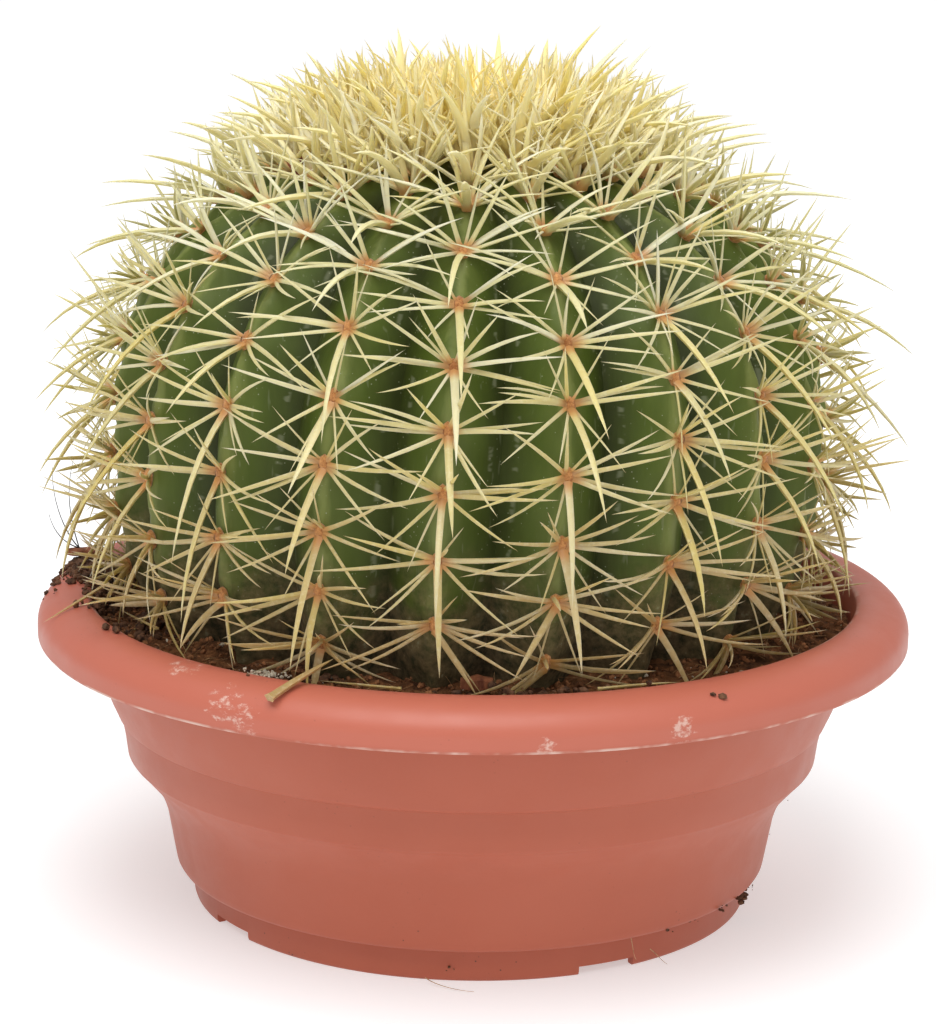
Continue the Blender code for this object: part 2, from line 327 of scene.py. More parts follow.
    def done(self, colour: Socket, roughness: Feed, specular: float = 0.5) -> Material:
        """Join the colour and roughness to the shader and give back the material.

        Args:
            colour: the surface's colour.
            roughness: a socket or a number.
            specular: the strength of its reflections.

        Returns:
            The material.
        """
        self.link(colour, self.shader.inputs["Base Color"])
        self.feed(self.shader.inputs["Roughness"], roughness)
        self.shader.inputs["Specular IOR Level"].default_value = specular
        return self.material


# ---------------------------------------------------------------- finishes

@dataclass(frozen=True)
class BowlPlastic:
    """Moulded terracotta-coloured plastic: satin, faintly mottled, scuffed on the lip, dusty low down, with
    the lip painted lighter as painted light and a pale line on its edges that is partly painted highlight.
    """
    base: Colour = linear(179, 92, 66)
    deep: Colour = linear(174, 88, 62)
    pale: Colour = linear(183, 97, 71)
    # Painted light: the lip's top and outer face are coloured lighter than the wall, as if lit from above.
    lip: Colour = linear(192, 106, 86)
    # Pale wear on the lip, also used for the painted highlight along the edges.
    scuff_and_highlight: Colour = linear(226, 200, 186)
    soil: Colour = linear(74, 48, 36)
    skirt_height: float = 0.0844
    # Rubbed places on the lip, each with its reach.
    scuffs: tuple[tuple[tuple[float, float, float], float], ...] = (
        ((-0.0810, -0.0948, 0.0974), 0.0085),
        ((-0.0699, -0.1141, 0.0923), 0.0090),
        ((-0.0640, -0.1185, 0.0880), 0.0100),
        ((0.0579, -0.1215, 0.0875), 0.0075),
        ((0.0200, -0.1330, 0.0860), 0.0060),
    )

    def material(self) -> Material:
        """Build the material.

        Returns:
            The material.
        """
        graph = Graph("bowl_plastic")
        cloud = graph.noise(16.0, 3.0, 0.5)
        grain = graph.noise(900.0, 2.0, 0.5)
        body = graph.ramp(cloud, [(0.3, self.deep), (0.52, self.base), (0.75, self.pale)])
        body = graph.mix(graph.between(grain, 0.35, 0.75, 0.0, 0.12), body, self.pale)
        # Sparse short scuffs on the lip, thicker where it gets handled.
        height = graph.height()
        on_lip = graph.between(height, self.skirt_height - 0.001, self.skirt_height + 0.002)
        scratch = graph.noise(210.0, 6.0, 0.75, graph.stretched((1.0, 1.0, 2.2)))
        region = graph.times(graph.between(graph.noise(14.0, 2.0), 0.60, 0.74), 0.45)
        for spot, reach in self.scuffs:
            region = graph.math("MAXIMUM", region, graph.near(spot, reach))
        # Painted light: the lip is coloured lighter than the wall below it, where it faces up into the lamps.
        body = graph.mix(graph.times(on_lip, 0.85), body, self.lip)
        worn = graph.between(graph.plus(scratch, graph.times(region, 0.17)), 0.655, 0.745)
        worn = graph.times(worn, graph.between(graph.noise(650.0, 4.0, 0.7), 0.42, 0.58, 0.15, 1.0))
        worn = graph.times(graph.times(worn, graph.between(region, 0.0, 0.25)), on_lip)
        body = graph.mix(graph.times(worn, 0.62), body, self.scuff_and_highlight)
        # The skirt's lower edge and the mouth's rim get a thin broken pale line: partly rubbed wear, partly
        # painted highlight along the edges.
        edge = graph.mark("edge")
        edge_wear_and_highlight = graph.times(edge, graph.between(graph.noise(60.0, 3.0, 0.7), 0.40, 0.62))
        body = graph.mix(graph.times(edge_wear_and_highlight, 0.75), body, self.scuff_and_highlight)
        # Dust and soil specks near the foot, and a few elsewhere.
        low = graph.between(height, 0.030, 0.004)
        dots = graph.between(graph.specks(420.0), 0.16, 0.08)
        rare = graph.between(graph.noise(45.0, 2.0), 0.56, 0.66)
        dirt = graph.times(graph.times(dots, rare), graph.plus(low, 0.25))
        body = graph.mix(graph.times(dirt, 0.8), body, self.soil)
        gloss = graph.between(graph.noise(70.0, 4.0, 0.6), 0.3, 0.7, 0.40, 0.50)
        gloss = graph.plus(gloss, graph.times(worn, 0.2))
        graph.bump(graph.plus(graph.times(grain, 0.3), scratch), 0.00006, 0.5)
        return graph.done(body, gloss, 0.45)


@dataclass(frozen=True)
class StemSkin:
    """Waxy green skin: pale on the rib crests, painted darker down the flanks into the furrows as painted
    shade, scarred and corky near the soil.
    """
    furrow: Colour = linear(48, 56, 16)
    flank: Colour = linear(76, 92, 24)
    shoulder: Colour = linear(90, 104, 38)
    crest: Colour = linear(128, 138, 72)
    bloom: Colour = linear(94, 106, 58)
    scar: Colour = linear(168, 172, 142)
    cork: Colour = linear(124, 104, 76)
    dark_cork: Colour = linear(52, 46, 34)

    def material(self) -> Material:
        """Build the material.

        Returns:
            The material.
        """
        graph = Graph("stem_skin")
        across = graph.mark("across")
        tall = graph.stretched((1.0, 1.0, 0.18))
        streak = graph.noise(130.0, 4.0, 0.6, tall)
        cloud = graph.noise(28.0, 3.0, 0.55)
        shifted = graph.plus(across, graph.between(streak, 0.2, 0.8, -0.10, 0.10))
        # Painted shade: the green darkens from the crests down the flanks into the furrows, where the ribs
        # shade each other.
        green = graph.ramp(shifted, [(0.02, self.crest), (0.16, self.shoulder),
                                     (0.42, self.flank), (0.93, self.furrow)])
        green = graph.mix(graph.between(cloud, 0.40, 0.72, 0.0, 0.30), green, self.bloom)
        # A broken line of scars runs down each furrow's sides, with a few faint ones beside it.
        line = graph.times(graph.between(across, 0.70, 0.76), graph.between(across, 0.84, 0.78))
        dash = graph.between(graph.noise(310.0, 2.0, 0.5, graph.stretched((0.4, 0.4, 1.0))), 0.54, 0.62)
        scars = graph.times(line, dash)
        faint = graph.times(graph.between(graph.noise(420.0, 2.0, 0.5, tall), 0.66, 0.72), 0.5)
        scars = graph.math("MAXIMUM", scars, faint)
        green = graph.mix(graph.times(scars, 0.30), green, self.scar)
        dots = graph.between(graph.specks(560.0), 0.15, 0.07)
        sparse = graph.between(graph.noise(75.0, 2.0), 0.44, 0.60)
        green = graph.mix(graph.times(graph.times(dots, sparse), 0.7), green, self.scar)
        # Cork climbs from the soil in patches.
        rise = graph.between(graph.height(), 0.150, 0.096)
        patch = graph.noise(52.0, 5.0, 0.65)
        corky = graph.between(graph.plus(patch, graph.times(rise, 0.42)), 0.58, 0.82)
        corky = graph.times(corky, rise, clamp=True)
        bark = graph.ramp(graph.noise(260.0, 4.0, 0.7), [(0.35, self.dark_cork), (0.62, self.cork),
                                                          (0.80, self.scar)])
        skin = graph.mix(graph.times(corky, 0.85), green, bark)
        gloss = graph.between(streak, 0.25, 0.75, 0.46, 0.62)
        gloss = graph.plus(gloss, graph.times(corky, 0.4), clamp=True)
        relief = graph.plus(streak, graph.times(corky, graph.noise(300.0, 4.0, 0.7)))
        graph.bump(relief, 0.0006, 0.45)
        return graph.done(skin, gloss, 0.32)


@dataclass(frozen=True)
class SpineFinish:
    """Woody spines: rusty at the base, yellow when young, cream later, straw and grey near the soil."""
    rust: Colour = linear(196, 132, 72)
    young: Colour = linear(252, 228, 138)
    grown: Colour = linear(232, 218, 160)
    mature: Colour = linear(208, 202, 152)
    old: Colour = linear(204, 188, 126)
    dead: Colour = linear(168, 140, 92)
    pale: Colour = linear(232, 230, 206)
    amber: Colour = linear(204, 182, 96)
    tip: Colour = linear(196, 160, 96)
    name: str = "spine"
    # Stands in for the light that the dense, translucent young spines pass on to each other.
    glow: float = 0.03
    glow_tint: Colour = linear(244, 214, 128)

    def material(self) -> Material:
        """Build the material.

        Returns:
            The material.
        """
        graph = Graph(self.name)
        graph.shader.inputs["Emission Color"].default_value = (*self.glow_tint, 1.0)
        graph.shader.inputs["Emission Strength"].default_value = self.glow
        along = graph.mark("along")
        tone = graph.mark("tone")
        age = graph.mark("age")
        shaft = graph.ramp(age, [(0.06, self.young), (0.26, self.grown), (0.46, self.mature),
                                 (0.72, self.old), (0.98, self.dead)])
        # The palest spines are the young ones.
        bleached = graph.times(graph.between(tone, 0.45, 1.0, 0.0, 0.60),
                               graph.between(age, 0.85, 0.45, 0.35, 1.0))
        shaft = graph.mix(bleached, shaft, self.pale)
        shaft = graph.mix(graph.between(tone, 0.35, 0.0, 0.0, 0.45), shaft, self.amber)
        fibre = graph.noise(700.0, 3.0, 0.6)
        shaft = graph.mix(graph.between(fibre, 0.45, 0.8, 0.0, 0.25), shaft, self.pale)
        base = graph.between(along, 0.16, 0.01)
        shaft = graph.mix(graph.times(base, 0.92), shaft, self.rust)
        end = graph.times(graph.between(along, 0.90, 1.0), graph.between(tone, 0.5, 0.1))
        shaft = graph.mix(graph.times(end, 0.6), shaft, self.tip)
        gloss = graph.between(fibre, 0.3, 0.7, 0.34, 0.48)
        graph.bump(fibre, 0.00008, 0.4)
        graph.shader.inputs["Subsurface Weight"].default_value = 0.45
        graph.shader.inputs["Subsurface Radius"].default_value = (1.0, 0.90, 0.6)
        graph.shader.inputs["Subsurface Scale"].default_value = 0.0035
        return graph.done(shaft, gloss, 0.5)


@dataclass(frozen=True)
class Felt:
    """Short plant felt, on the areoles and at the crown."""
    name: str
    dark: Colour
    light: Colour

    def material(self) -> Material:
        """Build the material.

        Returns:
            The material.
        """
        graph = Graph(self.name)
        fuzz = graph.noise(1400.0, 3.0, 0.7)
        blotch = graph.noise(160.0, 2.0, 0.5)
        tufts = graph.plus(graph.times(fuzz, 0.6), graph.times(blotch, 0.4))
        felt = graph.ramp(tufts, [(0.35, self.dark), (0.62, self.light)])
        graph.bump(fuzz, 0.0003, 0.8)
        graph.shader.inputs["Sheen Weight"].default_value = 0.3
        return graph.done(felt, 0.9, 0.2)


@dataclass(frozen=True)
class Peat:
    """Dark brown potting peat with paler and redder grains."""
    dark: Colour = linear(66, 40, 22)
    brown: Colour = linear(128, 84, 52)
    red: Colour = linear(172, 116, 74)

    def material(self) -> Material:
        """Build the material.

        Returns:
            The material.
        """
        graph = Graph("peat")
        clump = graph.noise(190.0, 5.0, 0.7)
        grain = graph.noise(1500.0, 3.0, 0.7)
        earth = graph.ramp(clump, [(0.38, self.dark), (0.58, self.brown), (0.76, self.red)])
        earth = graph.mix(graph.between(grain, 0.5, 0.8, 0.0, 0.35), earth, self.dark)
        graph.bump(graph.plus(clump, graph.times(grain, 0.5)), 0.0015, 0.9)
        return graph.done(earth, 0.95, 0.2)


@dataclass(frozen=True)
class Litter:
    """A dull natural finish with streaks: bark, fibres, grit and dry petals."""
    name: str
    dark: Colour
    light: Colour
    streaks: float = 1.0
    gloss: float = 0.85

    def material(self) -> Material:
        """Build the material.

        Returns:
            The material.
        """
        graph = Graph(self.name)
        grain = graph.noise(420.0, 4.0, 0.65, graph.stretched((1.0, self.streaks, self.streaks)))
        colour = graph.ramp(grain, [(0.34, self.dark), (0.66, self.light)])
        graph.bump(grain, 0.0005, 0.7)
        return graph.done(colour, self.gloss, 0.25)


@dataclass(frozen=True)
class StudioPaper:
    """The pale floor, lit a little from beneath."""
    shade: Colour = linear(216, 216, 216)
    deeper: Colour = linear(212, 212, 213)
    near_reach: float = 0.18
    far_reach: float = 1.10
    near_glow: float = 0.44
    far_glow: float = 0.66

    def material(self) -> Material:
        """Build the material.

        Returns:
            The material.
        """
        graph = Graph("studio_paper")
        tint = graph.ramp(graph.noise(3.0, 2.0), [(0.0, self.shade), (1.0, self.deeper)])
        graph.shader.inputs["Emission Color"].default_value = (1.0, 1.0, 1.0, 1.0)
        made = graph.node("ShaderNodeVectorMath", operation="LENGTH")
        graph.link(graph.place(), made.inputs[0])
        glow = graph.between(made.outputs["Value"], self.near_reach, self.far_reach,
                             self.near_glow, self.far_glow)
        graph.link(glow, graph.shader.inputs["Emission Strength"])
        return graph.done(tint, 0.9, 0.1)


# ---------------------------------------------------------------- mesh helpers

def new_object(name: str, bm: BMesh) -> Piece:
    """Put a bmesh into the scene as an object at the origin.

    Args:
        name: the object's name.
        bm: its mesh, which this frees.

    Returns:
        The new object.
    """
    mesh = bpy.data.meshes.new(name)
    bm.to_mesh(mesh)
    bm.free()
    made = bpy.data.objects.new(name, mesh)
    bpy.context.scene.collection.objects.link(made)
    return made


def marked_bmesh() -> BMesh:
    """A new bmesh with the marks that the spines' finish reads.

    Returns:
        The empty bmesh.
    """
    bm = bmesh.new()
    for key in ("along", "tone", "age"):
        bm.verts.layers.float.new(key)
    return bm


def roughen(bm: BMesh) -> None:
    """Make crumbs lumpy.

    Args:
        bm: the crumbs' bmesh.
    """
    for vert in bm.verts:
        lumps = Vector([wobble(vert.co, CRUMB_LUMP, seed) for seed in (1.0, 2.0, 3.0)])
        vert.co += lumps * CRUMB_RELIEF


def curve_through(knots: list[Vector], steps: int = 12) -> list[Vector]:
    """Points along a smooth curve.

    Args:
        knots: the curve's two ends, with its two handles between them.
        steps: how many stretches it is divided into.

    Returns:
        The points.
    """
    first, second, third, fourth = knots
    shares = [step / steps for step in range(steps + 1)]
    return [first * (1 - t) ** 3 + second * (3 * t * (1 - t) ** 2) + third * (3 * t * t * (1 - t))
            + fourth * t ** 3 for t in shares]


def finish_piece(name: str, bm: BMesh, material: Material,
                 nodes: tuple[str, ...] = (), sharp: float = 40.0) -> Piece:
    """Turn a bmesh into a piece that rides on the body and stands for its solids.

    Args:
        name: the piece's name.
        bm: its mesh, which this frees.
        material: its finish.
        nodes: the solids that it replaces.
        sharp: edges turned more than this many degrees stay crisp.

    Returns:
        The new object.
    """
    piece = new_object(name, bm)
    mesh = piece.data
    mesh.materials.append(material)
    mesh.shade_smooth()
    mesh.set_sharp_from_angle(angle=math.radians(sharp))
    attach(piece, BODY)
    if nodes:
        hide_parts(*nodes)
    LOG.info("%s: %d faces", name, len(mesh.polygons))
    return piece


def grown_from(bm: BMesh, template: bpy.types.Mesh) -> list[bmesh.types.BMVert]:
    """Add a copy of a template mesh to a bmesh.

    Args:
        bm: the bmesh to add to.
        template: the shape.

    Returns:
        The copy's vertices, in the template's order.
    """
    before = len(bm.verts)
    bm.from_mesh(template)
    bm.verts.ensure_lookup_table()
    return bm.verts[before:]


def extrude_rings(bm: BMesh, edges: list[bmesh.types.BMEdge],
                  rings: list[list[Vector]]) -> list[bmesh.types.BMEdge]:
    """Extrude a ring of edges through a row of rings of points.

    Args:
        bm: the bmesh.
        edges: the first ring's edges.
        rings: the points of each later ring, in the order of the ring's vertices.

    Returns:
        The last ring's edges.
    """
    for points in rings:
        made = bmesh.ops.extrude_edge_only(bm, edges=edges)["geom"]
        verts = [item for item in made if isinstance(item, bmesh.types.BMVert)]
        edges = [item for item in made if isinstance(item, bmesh.types.BMEdge)]
        for vert, point in zip(verts, points):
            vert.co = point
    return edges


# ---------------------------------------------------------------- the plant's form

@dataclass
class StemForm:
    """The barrel's shape: a super-ellipse of revolution with twisted ribs, read from its solid's box."""
    rib_count: int = 20
    widest_height: float = 0.1494
    lower_half: float = 0.117
    power: float = 2.24
    rib_depth: float = 0.0135
    first_rib: float = -0.059
    twist: float = 0.578
    apex_sink: float = 0.0035
    apex_radius: float = 0.026
    crest_blunt: float = 0.07
    axis: Vector = field(init=False)
    crest_radius: float = field(init=False)
    upper_half: float = field(init=False)

    def __post_init__(self) -> None:
        """Take the axis, the width and the top from the stem's solid."""
        low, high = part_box("cactus_stem")
        self.axis = Vector(((low.x + high.x) / 2, (low.y + high.y) / 2, 0.0))
        self.crest_radius = (high.x - low.x) / 2 / math.cos(self.first_rib)
        self.upper_half = high.z + 0.0004 - self.widest_height

    @property
    def pitch(self) -> float:
        """The angle from one rib to the next."""
        return math.tau / self.rib_count

    def crest(self, turn: float) -> tuple[float, float]:
        """A point on a crest.

        Args:
            turn: from -90 degrees at the base through 0 at the widest to 90 at the top, in radians.

        Returns:
            Its radius and height.
        """
        share = 2.0 / self.power
        radius = self.crest_radius * abs(math.cos(turn)) ** share
        half = self.upper_half if turn > 0 else -self.lower_half
        height = self.widest_height + half * abs(math.sin(turn)) ** share
        if turn > 0 and radius < self.apex_radius:
            height -= self.apex_sink * (1.0 - (radius / self.apex_radius) ** 2)
        return radius, height

    def around(self, angle: float, radius: float, height: float) -> Vector:
        """The point at an angle from the front, a radius and a height, with the ribs' twist.

        Args:
            angle: from the first rib, in radians.
            radius: from the stem's axis.
            height: above the floor.

        Returns:
            The point.
        """
        turn = self.first_rib + angle + self.twist * (height - self.widest_height)
        return Vector((self.axis.x + radius * math.sin(turn), self.axis.y - radius * math.cos(turn), height))

    def cut_away(self, share: float) -> float:
        """How much of the rib's depth is cut away at a share of the way from crest to furrow."""
        blunt = self.crest_blunt
        return (math.hypot(share, blunt) - blunt) / (math.hypot(1.0, blunt) - blunt)

    def depth_at(self, radius: float) -> float:
        """The ribs' depth where the crest has this radius."""
        return self.rib_depth * min(1.0, radius / (0.75 * self.crest_radius))


@dataclass
class CrestPath:
    """Arc lengths along one rib's crest, measured up from just above the soil."""
    form: StemForm
    start_height: float = 0.104
    steps: int = 1500
    first_turn: float = -40.0
    sweep: float = 129.5
    samples: list[tuple[float, float, float, float, float]] = field(default_factory=list)

    def __post_init__(self) -> None:
        """Walk up the crest in small steps."""
        length, last = 0.0, None
        for step in range(self.steps):
            turn = math.radians(self.first_turn + self.sweep * step / self.steps)
            radius, height = self.form.crest(turn)
            ahead = self.form.crest(turn + 0.004)
            run = Vector((ahead[0] - radius, ahead[1] - height)).normalized()
            if last is not None:
                length += math.hypot(radius - last[0], height - last[1])
            last = (radius, height)
            self.samples.append((length, radius, height, run.y, -run.x))
        start = next(sample[0] for sample in self.samples if sample[2] >= self.start_height)
        self.samples = [(sample[0] - start, *sample[1:]) for sample in self.samples]

    def at(self, length: float) -> tuple[float, float, Vector]:
        """The crest at an arc length.

        Args:
            length: metres above the start.

        Returns:
            Its radius, height and outward normal as (outward, up).
        """
        last = len(self.samples) - 1
        found = bisect_left(self.samples, length, 1, last, key=lambda sample: sample[0])
        _, radius, height, out, up = self.samples[found]
        return radius, height, Vector((out, up))

    @property
    def top(self) -> float:
        """The arc length at the crown."""
        return self.samples[-1][0]


# ---------------------------------------------------------------- stem

@dataclass
class Stem:
    """The ribbed barrel itself."""
    form: StemForm
    columns: int = 16
    rings: int = 96
    swelling: float = 0.0009
    base_height: float = 0.050
    top_turn: float = math.radians(88.6)
    areole_spacing: float = 0.0185

    def ring(self, radius: float, height: float, length: float) -> list[tuple[Vector, float]]:
        """One ring of points round the stem, with each one's share of the way to the furrow.

        Args:
            radius: of the crests.
            height: of the ring.
            length: along the crests from the base, which places the swellings.

        Returns:
            The points and shares, rib by rib.
        """
        points = []
        depth = self.form.depth_at(radius)
        for index in range(self.form.rib_count * self.columns):
            rib, step = divmod(index, self.columns)
            share = step / self.columns
            to_furrow = 2.0 * min(share, 1.0 - share)
            local = radius - depth * self.form.cut_away(to_furrow)
            point = self.form.around((rib + share) * self.form.pitch, local, height)
            bulge = math.cos(math.tau * (length / self.areole_spacing + 0.5 * (rib % 2)))
            fade = min(1.0, radius / 0.05)
            local += self.swelling * fade * (bulge * (1.0 - to_furrow) ** 2 + wobble(point, 0.022, 3.0))
            points.append((self.form.around((rib + share) * self.form.pitch, local, height), to_furrow))
        return points

    def build(self, material: Material) -> Piece:
        """Build the stem.

        Args:
            material: its finish.

        Returns:
            The stem's object.
        """
        bm = bmesh.new()
        across = bm.verts.layers.float.new("across")
        count = self.form.rib_count * self.columns
        bmesh.ops.create_circle(bm, cap_ends=False, segments=count, radius=1.0)
        edges = list(bm.edges)
        low_turn = -math.asin(((self.form.widest_height - self.base_height) / self.form.lower_half)
                              ** (self.form.power / 2.0))
        stations, length, last = [], 0.0, None
        for step in range(self.rings + 1):
            turn = low_turn + (self.top_turn - low_turn) * (step / self.rings) ** 0.9
            radius, height = self.form.crest(turn)
            length += math.hypot(radius - last[0], height - last[1]) if last else 0.0
            last = (radius, height)
            stations.append((radius, height, length))
        for vert, (point, share) in zip(bm.verts, self.ring(*stations[0])):
            vert.co = point
            vert[across] = share
        for station in stations[1:]:
            made = bmesh.ops.extrude_edge_only(bm, edges=edges)["geom"]
            verts = [item for item in made if isinstance(item, bmesh.types.BMVert)]
            edges = [item for item in made if isinstance(item, bmesh.types.BMEdge)]
            for vert, (point, share) in zip(verts, self.ring(*station)):
                vert.co = point
                vert[across] = share
        bmesh.ops.holes_fill(bm, edges=[edge for edge in bm.edges if edge.is_boundary], sides=0)
        caps = [face for face in bm.faces if len(face.verts) > 4]
        bmesh.ops.poke(bm, faces=caps)
        bmesh.ops.recalc_face_normals(bm, faces=bm.faces)
        return finish_piece("stem", bm, material, ("cactus_stem",), sharp=70.0)


# ---------------------------------------------------------------- spines

class Habit(Enum):
    """How a spine leaves its areole."""
    RADIAL = "radial"
    UPPER = "upper"
    LOWER = "lower"
    CENTRAL = "central"
    MAIN = "main"


@dataclass(frozen=True)
class SpineKind:
    """One spine of an areole, before its own small differences.

    bearing turns from up the rib (0) through sideways (90) to down the rib (180), in degrees; lift is
    its angle off the skin; sag bends it down the rib and hug bends it back to the skin, as shares of
    its length.
    """
    habit: Habit
    bearing: float
    lift: float
    length: float
    width: float
    sag: float
    hug: float


MATURE_SET = (
    SpineKind(Habit.RADIAL, 64.0, 32.0, 0.0300, 0.00150, 0.03, 0.15),
    SpineKind(Habit.RADIAL, 80.0, 35.0, 0.0335, 0.00175, 0.02, 0.18),
    SpineKind(Habit.RADIAL, 97.0, 33.0, 0.0335, 0.00170, -0.03, 0.18),
    SpineKind(Habit.RADIAL, 122.0, 28.0, 0.0300, 0.00145, -0.05, 0.13),
    SpineKind(Habit.UPPER, 26.0, 38.0, 0.0215, 0.00100, 0.00, 0.04),
    SpineKind(Habit.LOWER, 152.0, 28.0, 0.0235, 0.00100, 0.00, 0.06),
)
CENTRALS = (
    SpineKind(Habit.CENTRAL, 34.0, 58.0, 0.0280, 0.00170, 0.02, 0.06),
    SpineKind(Habit.MAIN, 180.0, 44.0, 0.0400, 0.00275, 0.14, 0.22),
)


@dataclass
class SpineMaker:
    """Grows spines from one needle-shaped template, whose circle has radius 1 and whose height is 1."""
    sides: int = 5
    stations: tuple[float, ...] = (0.0, 0.05, 0.18, 0.36, 0.54, 0.72, 0.88)
    flatness: float = 0.72
    template: bpy.types.Mesh = field(init=False)

    def __post_init__(self) -> None:
        """Build the template."""
        bm = bmesh.new()
        bmesh.ops.create_circle(bm, cap_ends=True, segments=self.sides, radius=1.0)
        edges = list(bm.edges)
        rounds = [[Vector((vert.co.x, vert.co.y, height)) for vert in bm.verts]
                  for height in self.stations[1:]]
        edges = extrude_rings(bm, edges, rounds)
        made = bmesh.ops.extrude_edge_only(bm, edges=edges)["geom"]
        tips = [item for item in made if isinstance(item, bmesh.types.BMVert)]
        bmesh.ops.pointmerge(bm, verts=tips, merge_co=(0.0, 0.0, 1.0))
        bmesh.ops.recalc_face_normals(bm, faces=bm.faces)
        self.template = bpy.data.meshes.new("needle_template")
        bm.to_mesh(self.template)
        bm.free()

    @staticmethod
    def half_width(along: float) -> float:
        """The spine's half width at a share of its length, as a share of its full half width."""
        swollen = 0.30 * max(0.0, 1.0 - along / 0.06)
        return (1.0 - along ** 2.5) ** 0.92 * (0.86 + swollen)

    def grow(self, bm: BMesh, root: Vector, heading: Vector, bend: Vector, facing: Vector,
             length: float, width: float, marks: dict[str, float]) -> None:
        """Add one spine.

        Args:
            bm: the row's bmesh, with its layers of marks.
            root: where it leaves the areole.
            heading: the unit direction in which it leaves.
            bend: where its tip is moved from a straight spine's, in metres.
            facing: the direction its flat side faces.
            length: along the straight spine.
            width: at its base.
            marks: the "tone" and "age" that its finish reads.
        """
        layers = bm.verts.layers.float
        for vert in grown_from(bm, self.template):
            along = vert.co.z
            centre = root + heading * (length * along) + bend * along ** 2
            tangent = (heading * length + bend * 2.0 * along).normalized()
            across = tangent.cross(facing).normalized()
            upright = across.cross(tangent)
            half = 0.5 * width * self.half_width(along)
            vert[layers["along"]] = along
            for key, value in marks.items():
                vert[layers[key]] = value
            vert.co = centre + across * (vert.co.x * half) + upright * (vert.co.y * half * self.flatness)


@dataclass
class Keepout:
    """Where spines may not go: inside the bowl's lip and below the soil."""
    mouth_radius: float = 0.1185
    lip_top: float = 0.0975
    soil_level: float = 0.0925
    reach: float = 0.137

    def hit(self, point: Vector) -> bool:
        """Whether a point is inside the lip, under the soil or too far out.

        Args:
            point: where to look.

        Returns:
            True if a spine may not be there.
        """
        radius = math.hypot(point.x, point.y)
        over_lip = radius > self.mouth_radius - 0.002 and point.z < self.lip_top + 0.0012
        return over_lip or point.z < self.soil_level - 0.002 or radius > self.reach


